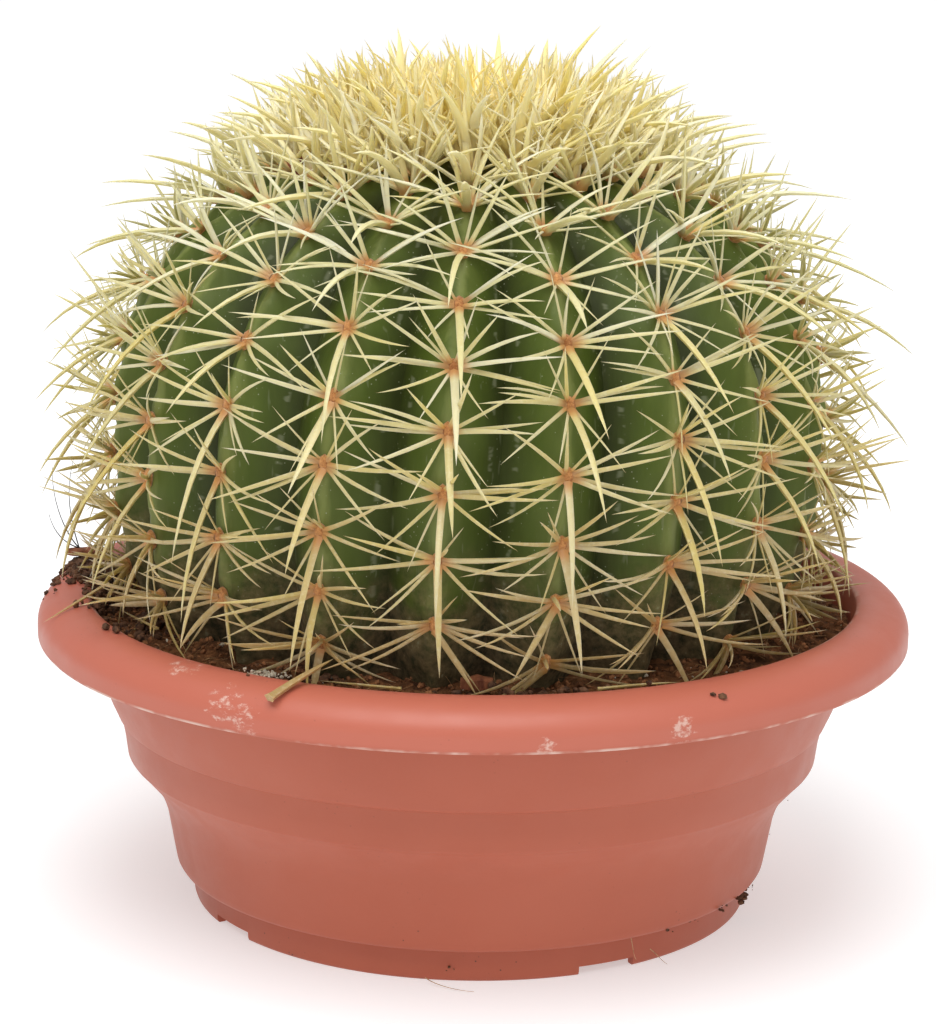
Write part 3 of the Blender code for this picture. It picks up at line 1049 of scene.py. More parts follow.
@dataclass
class SpineRows:
    """The areoles and spines of all the ribs."""
    form: StemForm
    path: CrestPath
    maker: SpineMaker
    keepout: Keepout
    spacing: float = 0.0187
    crown_spacing: float = 0.0062
    crown_starts: float = 0.078
    crown_edge: float = 0.020
    lowest_drop: float = 0.008
    # Above this share of the way up, spines stand up and crowd, fully so after the second share.
    crowds_from: float = 0.52
    crowds_over: float = 0.30
    # The shares of radial, thin and central spines that are missing.
    radials_lost: float = 0.06
    thin_lost: float = 0.18
    centrals_lost: float = 0.45
    # A felt pad's half sizes: across the rib, up it and off the skin.
    pad: tuple[float, float, float] = (0.0019, 0.0029, 0.0013)
    tries: int = 9  # how often a spine that meets the bowl or the soil is turned up and shortened
    # Each rib's first areole, as a share of the spacing above the lowest place for one.
    phases: tuple[float, ...] = (
        0.50, 0.82, 0.32, 0.70, 0.20, 0.60, 0.10, 0.45, 0.90, 0.30,
        0.75, 0.15, 0.55, 0.95, 0.40, 0.80, 0.25, 0.12, 0.54, 0.02,
    )

    def places(self, rib: int, draw: random.Random) -> list[float]:
        """The arc lengths of a rib's areoles, from the soil to the crown.

        Args:
            rib: which rib, from 0.
            draw: the row's random numbers.

        Returns:
            The lengths along the crest.
        """
        length = (self.phases[rib] - 1.0) * self.spacing
        length += self.spacing if length < -self.lowest_drop else 0.0
        found = []
        while True:
            radius = self.path.at(length)[0]
            if length > 0.05 and radius < self.crown_edge:
                return found
            found.append(length)
            mature = min(1.0, max(0.0, (radius - 0.045) / (self.crown_starts - 0.045)))
            step = self.crown_spacing + (self.spacing - self.crown_spacing) * mature
            length += step * draw.uniform(0.90, 1.08)
            if length >= self.path.top - 0.001:
                return found

    def axes(self, rib: int, length: float) -> Axes:
        """The areole's place and its outward, up-the-rib and sideways directions.

        Args:
            rib: which rib, from 0.
            length: the areole's length along the crest.

        Returns:
            The place, and the three unit directions.
        """
        radius, height, slope = self.path.at(length)
        angle = rib * self.form.pitch
        place = self.form.around(angle, radius, height)
        out_flat = self.form.around(angle, 1.0, height) - Vector((self.form.axis.x, self.form.axis.y, height))
        normal = (out_flat * slope.x + Vector((0.0, 0.0, slope.y))).normalized()
        side = Vector((0.0, 0.0, 1.0)).cross(out_flat).normalized()
        up = normal.cross(side)
        up = up if up.z > 0 or slope.y > 0.9 else -up
        return place, normal, up.normalized(), side

    def add_spine(self, bm: BMesh, draw: random.Random, frame: Axes, kind: SpineKind,
                  hand: float, age: float) -> None:
        """Grow one spine with its own small differences.

        Args:
            bm: the row's bmesh.
            draw: the row's random numbers.
            frame: the areole's place, normal, up and side.
            kind: which spine.
            hand: -1 or 1, the side it leans to.
            age: 0 at the crown to 1 at the soil.
        """
        place, normal, up, side = frame
        crowding = min(1.0, max(0.0, (1.0 - age - self.crowds_from) / self.crowds_over))
        spread = 4.0 if kind.habit is Habit.MAIN else 8.0 + 14.0 * crowding
        bearing = math.radians(kind.bearing + draw.gauss(0.0, spread))
        lift = kind.lift + draw.gauss(0.0, 6.0 + 9.0 * crowding)
        lift += crowding * (26.0 if kind.habit is Habit.MAIN else 32.0)
        length = kind.length * draw.uniform(0.86, 1.10)
        width = kind.width * draw.uniform(0.85, 1.12) * (1.0 + 0.55 * crowding)
        sag = kind.sag * draw.uniform(0.5, 1.5) + draw.gauss(0.0, 0.05)
        hug = kind.hug * draw.uniform(0.7, 1.6)
        sway = draw.gauss(0.0, 0.02 + 0.13 * crowding)
        tone = min(1.0, max(0.0, draw.gauss(0.5, 0.24)))
        flat = up * math.cos(bearing) + side * (hand * math.sin(bearing))
        root = place + normal * 0.0010 + flat * 0.0016
        for _ in range(self.tries):
            turn = math.radians(lift)
            heading = (flat * math.cos(turn) + normal * math.sin(turn)).normalized()
            bend = up * (-sag * length) - normal * (hug * length) + side * (sway * length)
            tip = root + heading * length + bend
            middle = root + heading * (0.55 * length) + bend * 0.3
            if not (self.keepout.hit(tip) or self.keepout.hit(middle)):
                break
            flat = (flat + up * 0.30).normalized()
            length *= 0.93
        self.maker.grow(bm, root, heading, bend, normal, length, width, {"tone": tone, "age": age})

    def build_row(self, rib: int, spine: Material, felt: Material) -> None:
        """Build one rib's spines and the felt pads that they stand in.

        Args:
            rib: which rib, from 0.
            spine: the spines' finish.
            felt: the pads' finish.
        """
        draw = random.Random(1000 + rib)
        bm = marked_bmesh()
        pads = bmesh.new()
        for length in self.places(rib, draw):
            frame = self.axes(rib, length)
            age = min(1.0, max(0.0, 1.0 - length / self.path.top)) ** 0.9
            age = min(1.0, max(0.0, age + draw.gauss(0.0, 0.02)))
            self.add_pad(pads, draw, frame)
            self.add_areole(bm, draw, frame, age)
        number = f"{rib + 1:02d}"
        finish_piece(f"rib_spines_{number}", bm, spine, (f"spine_row_{number}",), sharp=75.0)
        finish_piece(f"rib_felt_{number}", pads, felt, sharp=75.0)

    def add_areole(self, bm: BMesh, draw: random.Random, frame: Axes, age: float) -> None:
        """Grow all of one areole's spines.

        Args:
            bm: the row's bmesh.
            draw: the row's random numbers.
            frame: the areole's place, normal, up and side.
            age: 0 at the crown to 1 at the soil.
        """
        for kind in MATURE_SET:
            for hand in (-1.0, 1.0):
                if draw.random() < (self.radials_lost if kind.habit is Habit.RADIAL else self.thin_lost):
                    continue
                self.add_spine(bm, draw, frame, kind, hand, age)
        for kind in CENTRALS:
            hands = (-1.0, 1.0) if kind.habit is Habit.CENTRAL else (1.0,)
            for hand in hands:
                if kind.habit is Habit.CENTRAL and draw.random() < self.centrals_lost:
                    continue
                self.add_spine(bm, draw, frame, kind, hand, age)

    def add_pad(self, pads: BMesh, draw: random.Random, frame: Axes) -> None:
        """Add one areole's felt pad: a small lumpy cushion, longer up the rib than across it.

        Args:
            pads: the row's bmesh of pads.
            draw: the row's random numbers.
            frame: the areole's place, normal, up and side.
        """
        place, normal, up, side = frame
        basis = Matrix((side, up, normal)).transposed().to_4x4()
        half, tall, thick = self.pad
        size = Matrix.Diagonal((half, tall * draw.uniform(0.85, 1.15), thick, 1.0))
        made = bmesh.ops.create_uvsphere(pads, u_segments=8, v_segments=5, radius=1.0,
                                         matrix=Matrix.Translation(place + normal * 0.0004) @ basis @ size)
        for vert in made["verts"]:
            vert.co += normal * (0.0004 * wobble(vert.co, 0.0016, 5.0))
            vert.co += side * (0.0003 * wobble(vert.co, 0.0014, 9.0))

    def build(self, spine: Material, felt: Material) -> None:
        """Build every rib's row."""
        for rib in range(self.form.rib_count):
            self.build_row(rib, spine, felt)


@dataclass
class Crown:
    """The young growth at the apex: a felt cushion and a brush of erect yellow spines."""
    maker: SpineMaker
    spines: int = 150
    radius: float = 0.021
    lengths: tuple[float, float] = (0.012, 0.027)
    widths: tuple[float, float] = (0.0015, 0.0030)
    stray: float = 0.008
    # How far the spines lean, in degrees: in the middle, how much more at the edge, and at random.
    leans: tuple[float, float, float] = (6.0, 38.0, 27.0)

    def build(self, spine: Material, felt: Material) -> None:
        """Build the felt and the spines.

        Args:
            spine: the spines' finish.
            felt: the felt's finish.
        """
        low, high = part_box("crown_wool")
        centre = Vector(((low.x + high.x) / 2, (low.y + high.y) / 2, low.z + 0.001))
        bm = bmesh.new()
        size = Matrix.Diagonal(((high.x - low.x) / 2, (high.y - low.y) / 2, high.z - low.z - 0.001, 1.0))
        bmesh.ops.create_uvsphere(bm, u_segments=72, v_segments=36, radius=1.0,
                                  matrix=Matrix.Translation(centre) @ size)
        for vert in bm.verts:
            if vert.co.z < centre.z:
                vert.co.z = centre.z - 0.1 * (centre.z - vert.co.z)
            vert.co.z += 0.0011 * wobble(vert.co, 0.004, 2.0) * (vert.co.z > centre.z)
        finish_piece("crown_felt", bm, felt, ("crown_wool",), sharp=75.0)
        draw = random.Random(77)
        bm = marked_bmesh()
        for index in range(self.spines):
            share = math.sqrt((index + 0.5) / self.spines)
            out = polar(index * GOLDEN_ANGLE, 1.0)
            root = centre + out * (self.radius * share)
            root.z += (high.z - centre.z) * (1.0 - share ** 2) * 0.6 - 0.001
            erect, outer, tousle = self.leans
            lean = math.radians(erect + outer * share + draw.gauss(0.0, tousle))
            swing = Matrix.Rotation(draw.gauss(0.0, 1.2), 3, "Z") @ out
            heading = (swing * math.sin(lean) + Vector((0.0, 0.0, math.cos(lean)))).normalized()
            bend = Vector((draw.gauss(0.0, self.stray), draw.gauss(0.0, self.stray), -0.001))
            bend += swing * draw.uniform(-0.002, 0.006)
            length, width = draw.uniform(*self.lengths), draw.uniform(*self.widths)
            tone = min(1.0, max(0.0, draw.gauss(0.55, 0.34)))
            self.maker.grow(bm, root, heading, bend, out, length, width,
                            {"tone": tone, "age": draw.uniform(0.0, 0.20)})
        finish_piece("crown_spines", bm, spine, sharp=75.0)


# ---------------------------------------------------------------- bowl

@dataclass
class Bowl:
    """The moulded bowl: a turned wall with a rolled lip, drain notches under its foot and drain holes."""
    steps: int = 192
    wall: float = 0.0024
    foot_radius: float = 0.0872
    foot_wall: float = 0.0030
    foot_height: float = 0.0107
    floor_underside: float = 0.0080
    floor_top: float = 0.0125
    skirt_bottom: float = 0.0844
    roll_height: float = 0.0885
    roll_width: float = 0.0125
    roll_steps: int = 14
    mouth_radius: float = 0.1185
    notch_angles: tuple[float, ...] = (28.0, 124.0, 208.0, 304.0)
    notch_width: float = 0.0185
    notch_height: float = 0.0027
    drain_count: int = 6
    drain_radius: float = 0.0045
    drain_circle: float = 0.060
    cutter_depth: float = 0.02
    rim_radius: float = field(init=False)
    height: float = field(init=False)

    def __post_init__(self) -> None:
        """Take the rim's radius and the height from the bowl's solid."""
        low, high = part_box("pot")
        self.rim_radius = (high.x - low.x) / 2
        self.height = high.z

    def on_roll(self, lean: float) -> tuple[float, float]:
        """The (r, z) on the lip's roll, from its outer side at 0 to its top at a quarter turn."""
        return (self.rim_radius - self.roll_width * (1.0 - math.cos(lean)),
                self.roll_height + (self.height - self.roll_height) * math.sin(lean))

    def lip_height(self, radius: float) -> float | None:
        """How high the lip's surface is at a radius.

        Args:
            radius: from the bowl's axis.

        Returns:
            The height, or None inside the mouth, or -1 beyond the rim.
        """
        if radius < self.mouth_radius + 0.0005:
            return None
        if radius > self.rim_radius - 0.0004:
            return -1.0
        share = max(0.0, radius - self.rim_radius + self.roll_width) / self.roll_width
        return self.roll_height + (self.height - self.roll_height) * math.sqrt(1.0 - share ** 2)

    def outside(self) -> list[tuple[float, float]]:
        """The outer side's (r, z), from the top of the foot to the underside of the lip.

        Returns:
            The points, from the foot up.
        """
        lower = [(0.0912, self.foot_height), (0.0921, 0.0111), (0.0927, 0.0121), (0.0930, 0.0135),
                 (0.0957, 0.0285), (0.0969, 0.0322)]
        shoulder = [(0.0982, 0.0352), (0.1003, 0.0385), (0.1031, 0.0417), (0.1056, 0.0445),
                    (0.1067, 0.0460), (0.1074, 0.0464), (0.1078, 0.0470)]
        band = [(0.1086, 0.0530), (0.1095, 0.0575), (0.1098, 0.0592), (0.1106, 0.0596), (0.1110, 0.0603)]
        flare = [(0.1116, 0.0617), (0.1130, 0.0648), (0.1150, 0.0700), (0.1167, 0.0755), (0.1182, 0.0810),
                 (0.1194, 0.0870)]
        return lower + shoulder + band + flare

    def profile(self) -> list[tuple[float, float]]:
        """The whole wall's (r, z), from the middle of the underside round to the middle of the floor.

        Returns:
            The points, in order.
        """
        inner_foot = self.foot_radius - self.foot_wall
        foot = [(0.0, self.floor_underside), (inner_foot - 0.001, self.floor_underside),
                (inner_foot, self.floor_underside - 0.001), (inner_foot, 0.0003), (inner_foot + 0.0003, 0.0),
                (self.foot_radius - 0.0008, 0.0), (self.foot_radius - 0.0003, 0.0003),
                (self.foot_radius, 0.0012), (self.foot_radius + 0.0002, self.foot_height - 0.0003),
                (self.foot_radius + 0.0006, self.foot_height)]
        under_lip = [(0.1206, self.height - 0.0060), (0.1225, self.height - 0.0042),
                     (0.1265, self.height - 0.0035), (0.1300, self.height - 0.0050),
                     (self.rim_radius - self.wall, self.roll_height),
                     (self.rim_radius - 0.0018, self.skirt_bottom + 0.0003),
                     (self.rim_radius - 0.0014, self.skirt_bottom),
                     (self.rim_radius - 0.0004, self.skirt_bottom),
                     (self.rim_radius, self.skirt_bottom + 0.0005),
                     (self.rim_radius, self.skirt_bottom + 0.0010)]
        roll = [self.on_roll(math.radians(90.0 * step / self.roll_steps))
                for step in range(self.roll_steps + 1)]
        mouth = [(self.mouth_radius + 0.0018, self.height - 0.0002),
                 (self.mouth_radius + 0.0006, self.height - 0.0007),
                 (self.mouth_radius, self.height - 0.0016)]
        inside = [(radius - self.wall, height) for radius, height in reversed(self.outside()[5:])]
        floor = [(0.0905, self.floor_top + 0.004), (0.0885, self.floor_top + 0.001), (0.0870, self.floor_top),
                 (0.0, self.floor_top)]
        return foot + self.outside() + under_lip + roll + mouth + inside + floor

    def build(self, material: Material) -> Piece:
        """Build the bowl.

        Args:
            material: its finish.

        Returns:
            The bowl's object.
        """
        bm = bmesh.new()
        edge = bm.verts.layers.float.new("edge")
        verts = [bm.verts.new((radius, 0.0, height)) for radius, height in self.profile()]
        edges = [bm.edges.new(pair) for pair in zip(verts, verts[1:])]
        bmesh.ops.spin(bm, geom=verts + edges, cent=(0, 0, 0), axis=(0, 0, 1), angle=math.tau,
                       steps=self.steps, use_merge=True)
        bmesh.ops.remove_doubles(bm, verts=bm.verts, dist=1e-6)
        bmesh.ops.recalc_face_normals(bm, faces=bm.faces)
        # Mark the skirt's lower edge and the mouth's top rim, where the finish paints a pale line: partly
        # wear, partly painted highlight.
        for vert in bm.verts:
            radius = math.hypot(vert.co.x, vert.co.y)
            at_skirt = radius > self.rim_radius - 0.0006 and vert.co.z < self.skirt_bottom + 0.0006
            at_mouth = abs(radius - self.mouth_radius - 0.0006) < 0.0004 and vert.co.z > self.height - 0.0010
            vert[edge] = 1.0 if at_skirt else 0.7 if at_mouth else 0.0
        piece = finish_piece("bowl", bm, material, ("pot",), sharp=50.0)
        self.cut_openings(piece)
        return piece

    def cut_openings(self, piece: Piece) -> None:
        """Cut the notches under the foot and the drain holes in the floor.

        Args:
            piece: the bowl's object.
        """
        bm = bmesh.new()
        for angle in self.notch_angles:
            turn = Matrix.Rotation(math.radians(angle), 4, "Z")
            place = turn @ Matrix.Translation((0.0, -self.foot_radius, 0.0))
            size = Matrix.Diagonal((self.notch_width, self.cutter_depth, 2 * self.notch_height, 1.0))
            bmesh.ops.create_cube(bm, size=1.0, matrix=place @ size)
        for hole in range(self.drain_count):
            turn = Matrix.Rotation(math.tau * hole / self.drain_count, 4, "Z")
            place = turn @ Matrix.Translation((self.drain_circle, 0.0, self.floor_underside))
            bmesh.ops.create_cone(bm, cap_ends=True, segments=32, radius1=self.drain_radius,
                                  radius2=self.drain_radius, depth=self.cutter_depth, matrix=place)
        cutter = new_object("opening_cutters", bm)
        boolean = piece.modifiers.new("openings", "BOOLEAN")
        boolean.operation = "DIFFERENCE"
        boolean.object = cutter
        apply_modifiers(piece)
        bpy.data.objects.remove(cutter)


def apply_modifiers(piece: Piece) -> None:
    """Make a piece's modifiers part of its mesh.

    Args:
        piece: the object.
    """
    bpy.context.view_layer.update()
    graph = bpy.context.evaluated_depsgraph_get()
    mesh = bpy.data.meshes.new_from_object(piece.evaluated_get(graph))
    piece.modifiers.clear()
    piece.data = mesh


# ---------------------------------------------------------------- soil

@dataclass
class SoilBed:
    """The peat in the bowl, with crumbs, grit and fibres on it."""
    form: StemForm
    level: float = 0.0925
    drop: float = 0.0055
    columns: int = 400
    surface_rings: int = 26
    inner_radius: float = 0.080
    side_gap: float = 0.0014
    crumbs: int = 2000
    grains: int = 90
    fibres: int = 260
    crumb_sizes: tuple[float, float] = (0.0005, 0.0016)
    grain_sizes: tuple[float, float] = (0.0004, 0.0010)
    # The surface's lumps: height, width and seed.
    reliefs: tuple[tuple[float, float, float], ...] = (
        (0.0018, 0.010, 1.0), (0.0013, 0.0040, 4.0), (0.0006, 0.0015, 8.0))
    # The bowl's inner side as (r, z), from its floor up.
    side: tuple[tuple[float, float], ...] = (
        (0.0885, 0.0132), (0.0930, 0.0290), (0.0975, 0.0380),
        (0.1045, 0.0470), (0.1072, 0.0590), (0.1125, 0.0700),
    )
    edge_radius: float = field(init=False)

    def __post_init__(self) -> None:
        """Take the radius at which the soil meets the bowl from the soil's solid."""
        low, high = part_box("potting_soil")
        self.edge_radius = (high.x - low.x) / 2

    def top(self, angle: float, share: float) -> float:
        """The soil's height at an angle, share of the way from the stem to the bowl's wall.

        Args:
            angle: from the front, in radians.
            share: from 0 at the stem to 1 at the wall.

        Returns:
            The height.
        """
        fall = 0.5 - 0.5 * math.cos(angle + math.radians(60.0))
        waves = 0.15 * math.sin(3 * angle + 0.7) + 0.10 * math.sin(7 * angle)
        return self.level - share * self.drop * (fall + waves)

    def point(self, angle: float, share: float) -> Vector:
        """A point on the soil's surface, share of the way from just inside the stem to the bowl.

        Args:
            angle: from the front, in radians.
            share: from 0 inside the stem to 1 at the wall.

        Returns:
            The point.
        """
        inner = self.form.axis + polar(angle, self.inner_radius)
        spot = inner.lerp(polar(angle, self.edge_radius), share)
        spot.z = self.top(angle, max(0.0, (share - 0.5) * 2.0))
        spot.z += sum([relief * wobble(spot, width, seed) for relief, width, seed in self.reliefs])
        return spot

    def build(self, peat: Material, crumb: Material, fibre: Material, grit: Material) -> None:
        """Build the soil and what lies in it.

        Args:
            peat, crumb, fibre, grit: the finishes.
        """
        bm = bmesh.new()
        bmesh.ops.create_circle(bm, cap_ends=False, segments=self.columns, radius=1.0)
        edges = list(bm.edges)
        angles = [math.atan2(vert.co.x, -vert.co.y) for vert in bm.verts]
        rings = [[polar(angle, radius - self.side_gap, height) for angle in angles]
                 for radius, height in self.side]
        rings += [[self.point(angle, 1.0 - step / self.surface_rings) for angle in angles]
                  for step in range(self.surface_rings + 1)]
        for vert, point in zip(bm.verts, rings[0]):
            vert.co = point
        extrude_rings(bm, edges, rings[1:])
        bmesh.ops.holes_fill(bm, edges=[edge for edge in bm.edges if edge.is_boundary], sides=0)
        bmesh.ops.poke(bm, faces=[face for face in bm.faces if len(face.verts) > 4])
        bmesh.ops.recalc_face_normals(bm, faces=bm.faces)
        finish_piece("soil", bm, peat, ("potting_soil",), sharp=80.0)
        self.scatter_crumbs("soil_crumbs", self.crumbs, self.crumb_sizes, 11, crumb)
        self.scatter_crumbs("soil_grit", self.grains, self.grain_sizes, 12, grit)
        self.scatter_fibres(fibre)

    def scatter_crumbs(self, name: str, count: int, sizes: tuple[float, float], seed: int,
                       material: Material) -> None:
        """Scatter small lumps over the visible ring of soil.

        Args:
            name: the piece's name.
            count: how many.
            sizes: the smallest and largest half width.
            seed: starts its random numbers.
            material: its finish.
        """
        draw = random.Random(seed)
        bm = bmesh.new()
        for _ in range(count):
            spot = self.point(draw.uniform(0.0, math.tau), draw.uniform(0.35, 1.0))
            size = sizes[0] + (sizes[1] - sizes[0]) * draw.random() ** 2.5
            turn = Matrix.Rotation(draw.uniform(0.0, math.tau), 4, Vector(
                (draw.gauss(0, 1), draw.gauss(0, 1), draw.gauss(0, 1))).normalized())
            shape = Matrix.Diagonal((size, size * draw.uniform(0.5, 0.9), size * draw.uniform(0.4, 0.8),
                                     1.0))
            place = Matrix.Translation(spot + Vector((0.0, 0.0, size * 0.3)))
            bmesh.ops.create_icosphere(bm, subdivisions=1, radius=1.0, matrix=place @ turn @ shape)
        roughen(bm)
        finish_piece(name, bm, material, sharp=35.0)

    def scatter_fibres(self, material: Material) -> None:
        """Scatter thin curled fibres over the soil.

        Args:
            material: their finish.
        """
        draw = random.Random(21)
        bm = bmesh.new()
        for _ in range(self.fibres):
            angle, share = draw.uniform(0.0, math.tau), draw.uniform(0.4, 0.97)
            start = self.point(angle, share)
            heading = Vector((draw.gauss(0, 1), draw.gauss(0, 1), draw.uniform(0.0, 0.5))).normalized()
            curl = Vector((draw.gauss(0, 1), draw.gauss(0, 1), draw.uniform(-0.6, 0.2))).normalized()
            length = draw.uniform(0.003, 0.011)
            add_thread(bm, [start + heading * (length * t) + curl * (0.4 * length * t * t)
                            for t in (0.0, 0.25, 0.5, 0.75, 1.0)], draw.uniform(0.00008, 0.00020))
        finish_piece("soil_fibres", bm, material, sharp=75.0)


def add_thread(bm: BMesh, points: list[Vector], radius: float, sides: int = 4) -> None:
    """Add a thin tapering thread through some points.

    Args:
        bm: the bmesh to add to.
        points: its centreline.
        radius: at its start; its end is a third of that.
        sides: of its cross-section.
    """
    def section(index: int) -> list[Vector]:
        """The ring of points at one point of the centreline.

        Args:
            index: which point.

        Returns:
            The ring.
        """
        ahead = points[min(index + 1, len(points) - 1)]
        behind = points[max(index - 1, 0)]
        tangent = (ahead - behind).normalized()
        first = tangent.orthogonal().normalized()
        second = tangent.cross(first)
        size = radius * (1.0 - 0.67 * index / (len(points) - 1))
        turns = (math.tau * k / sides for k in range(sides))
        return [points[index] + first * (size * math.cos(a)) + second * (size * math.sin(a)) for a in turns]

    made = bmesh.ops.create_circle(bm, cap_ends=True, segments=sides, radius=1.0)["verts"]
    edges = list({edge for vert in made for edge in vert.link_edges})
    for vert, point in zip(made, section(0)):
        vert.co = point
    edges = extrude_rings(bm, edges, [section(index) for index in range(1, len(points))])
    bmesh.ops.holes_fill(bm, edges=edges, sides=0)


# ---------------------------------------------------------------- loose bits

@dataclass
class LooseBits:
    """Bark chips, the dry flower remnant, root threads and fallen spines."""
    form: StemForm
    maker: SpineMaker
    bowl: Bowl
    pale_thread: float = 0.00016  # half width
    root_thread: float = 0.00024  # half width
    scales: int = 9

    def build_chip(self, node: str, material: Material, seed: float) -> None:
        """Build a bark chip in the place of its solid.

        Args:
            node: the solid's name.
            material: the chip's finish.
            seed: makes its lumps its own.
        """
        low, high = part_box(node)
        centre, size = (low + high) / 2, high - low
        bm = bmesh.new()
        bmesh.ops.create_cube(bm, size=1.0, matrix=Matrix.Translation(centre) @ Matrix.Diagonal((*size, 1.0)))
        bmesh.ops.subdivide_edges(bm, edges=bm.edges, cuts=9, use_grid_fill=True)
        for vert in bm.verts:
            local = Vector(((vert.co.x - centre.x) / size.x, (vert.co.y - centre.y) / size.y,
                            (vert.co.z - centre.z) / size.z))
            pinch = 1.0 - 0.9 * abs(local.x) ** 2.2
            vert.co.y = centre.y + (vert.co.y - centre.y) * pinch
            vert.co.z = centre.z + (vert.co.z - centre.z) * (1.0 - 1.2 * local.x ** 2) * (1.0 - local.y ** 2)
            vert.co.z += 0.0006 * wobble(vert.co, 0.0028, seed)
            vert.co.y += 0.0005 * wobble(vert.co, 0.0030, seed + 3.0)
        bmesh.ops.recalc_face_normals(bm, faces=bm.faces)
        finish_piece(node.replace("bark_chip", "bark_flake"), bm, material, (node,), sharp=50.0)

    def build_remnant(self, material: Material) -> None:
        """Build the dry remains of a flower: a few papery scales curled round one axis.

        Args:
            material: its finish.
        """
        low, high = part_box("dry_flower_remnant")
        centre, size = (low + high) / 2, high - low
        outward = Vector((centre.x - self.form.axis.x, centre.y - self.form.axis.y, 0.0)).normalized()
        foot = centre - outward * (size.to_2d().length / 2 * 0.8) - Vector((0.0, 0.0, size.z / 2 * 0.9))
        grow = (centre - foot).normalized()
        bm = marked_bmesh()
        draw = random.Random(5)
        for index in range(self.scales):
            turn = Matrix.Rotation(index * 2.4, 3, grow)
            out = turn @ grow.orthogonal().normalized()
            heading = (grow + out * 0.42).normalized()
            self.maker.grow(bm, foot + out * 0.0006, heading, -out * 0.0022, out, draw.uniform(0.007, 0.011),
                            draw.uniform(0.0016, 0.0026), {})
        finish_piece("flower_remnant", bm, material, ("dry_flower_remnant",), sharp=75.0)

    def build_fallen_spines(self, material: Material) -> None:
        """Build the dead spines that lie across the rim at the left.

        Args:
            material: their finish.
        """
        bm = marked_bmesh()
        up = Vector((0.0, 0.0, 1.0))
        # Each one's thick end, its tip, its width and its age.
        fallen = (
            (Vector((-0.0562, -0.1222, 0.0962)), Vector((-0.0400, -0.1060, 0.1040)), 0.0034, 0.99),
            (Vector((-0.1110, -0.0270, 0.1035)), Vector((-0.1285, -0.0412, 0.0948)), 0.0016, 0.97),
            (Vector((-0.0930, -0.0600, 0.0985)), Vector((-0.1075, -0.0350, 0.0975)), 0.0013, 0.95),
            (Vector((0.0350, -0.1090, 0.0962)), Vector((0.0580, -0.1010, 0.0972)), 0.0014, 0.90),
            (Vector((-0.0200, -0.1125, 0.0965)), Vector((-0.0440, -0.1060, 0.0968)), 0.0013, 0.93),
        )
        for root, tip, width, age in fallen:
            heading = (tip - root).normalized()
            side = heading.cross(up)
            self.maker.grow(bm, root, heading, side * 0.0015 - up * 0.0006, up, (tip - root).length, width,
                            {"tone": 0.4, "age": age})
        along = bm.verts.layers.float["along"]
        for vert in bm.verts:
            vert[along] = max(0.2, vert[along])
        finish_piece("fallen_spines", bm, material, sharp=75.0)

    def build_heap(self, name: str, spots: list[tuple[Vector, Vector, int, float, float]],
                   material: Material) -> None:
        """Build small heaps of crumbs.

        Args:
            name: the piece's name.
            spots: each heap's middle, spread, count, and smallest and largest half width.
            material: its finish.
        """
        draw = random.Random(31)
        bm = bmesh.new()
        for middle, spread, count, small, large in spots:
            for _ in range(count):
                place = middle + Vector([draw.gauss(0.0, 0.5) * spread[axis] for axis in range(3)])
                size = small + (large - small) * draw.random() ** 2
                rest = self.bowl.lip_height(math.hypot(place.x, place.y)) if place.z > 0.09 else None
                if rest is not None and place.z > rest - 0.003:
                    # On the lip a crumb lies on the surface, and one over the edge has fallen off.
                    far = (place - middle).to_2d()
                    mound = 0.0016 * math.exp(-(far.x / spread.x) ** 2 - (far.y / spread.y) ** 2)
                    if rest < 0.0:
                        continue
                    place.z = rest + 0.4 * size + mound * draw.random()
                turn = Matrix.Rotation(draw.uniform(0.0, math.tau), 4, "Z")
                shape = Matrix.Diagonal((size, size * draw.uniform(0.5, 0.9), size * draw.uniform(0.5, 0.9),
                                         1.0))
                place = Matrix.Translation(place) @ turn @ shape
                bmesh.ops.create_icosphere(bm, subdivisions=1, radius=1.0, matrix=place)
        roughen(bm)
        finish_piece(name, bm, material, sharp=35.0)

    def build_dirt(self, peat: Material, grit: Material) -> None:
        """Build the spilt peat on the rim and the foot, and the grit beside the rim.

        Args:
            peat, grit: the finishes.
        """
        low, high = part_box("bark_chip_left")
        perch = Vector(((low.x + high.x) / 2, (low.y + high.y) / 2, low.z))
        heaps = [
            (perch - Vector((0.0, 0.0, 0.0015)), Vector((0.0080, 0.0090, 0.0010)), 330, 0.0004, 0.0015),
            (perch - Vector((-0.004, 0.016, 0.002)), Vector((0.010, 0.015, 0.002)), 420, 0.0004, 0.0016),
            (Vector((-0.1130, -0.0110, 0.0945)), Vector((0.0070, 0.0200, 0.0045)), 260, 0.0005, 0.0020),
            (Vector((-0.0990, -0.0480, 0.0935)), Vector((0.0100, 0.0170, 0.0030)), 150, 0.0005, 0.0022),
            (Vector((-0.0560, -0.0960, 0.0930)), Vector((0.0200, 0.0080, 0.0025)), 120, 0.0005, 0.0018),
            (Vector((0.0300, -0.1080, 0.0935)), Vector((0.0400, 0.0060, 0.0020)), 150, 0.0005, 0.0018),
            (Vector((0.0835, -0.0322, 0.0085)), Vector((0.0020, 0.0030, 0.0022)), 34, 0.0005, 0.0016),
        ]
        # Specks lie on the foot's ledge at the right: angle, radius, height and count.
        specks = ((40, 0.0915, 0.0112, 5), (48, 0.0913, 0.0110, 8), (55, 0.0915, 0.0112, 10),
                  (62, 0.0913, 0.0110, 12), (68, 0.0910, 0.0112, 12), (357, 0.0874, 0.0045, 6),
                  (78, 0.0975, 0.0345, 5), (84, 0.0940, 0.0200, 4))
        for angle, radius, height, count in specks:
            heaps.append((polar(math.radians(angle), radius, height),
                          Vector((0.0035, 0.0035, 0.0008)) * 0.9, count, 0.0002, 0.0007))
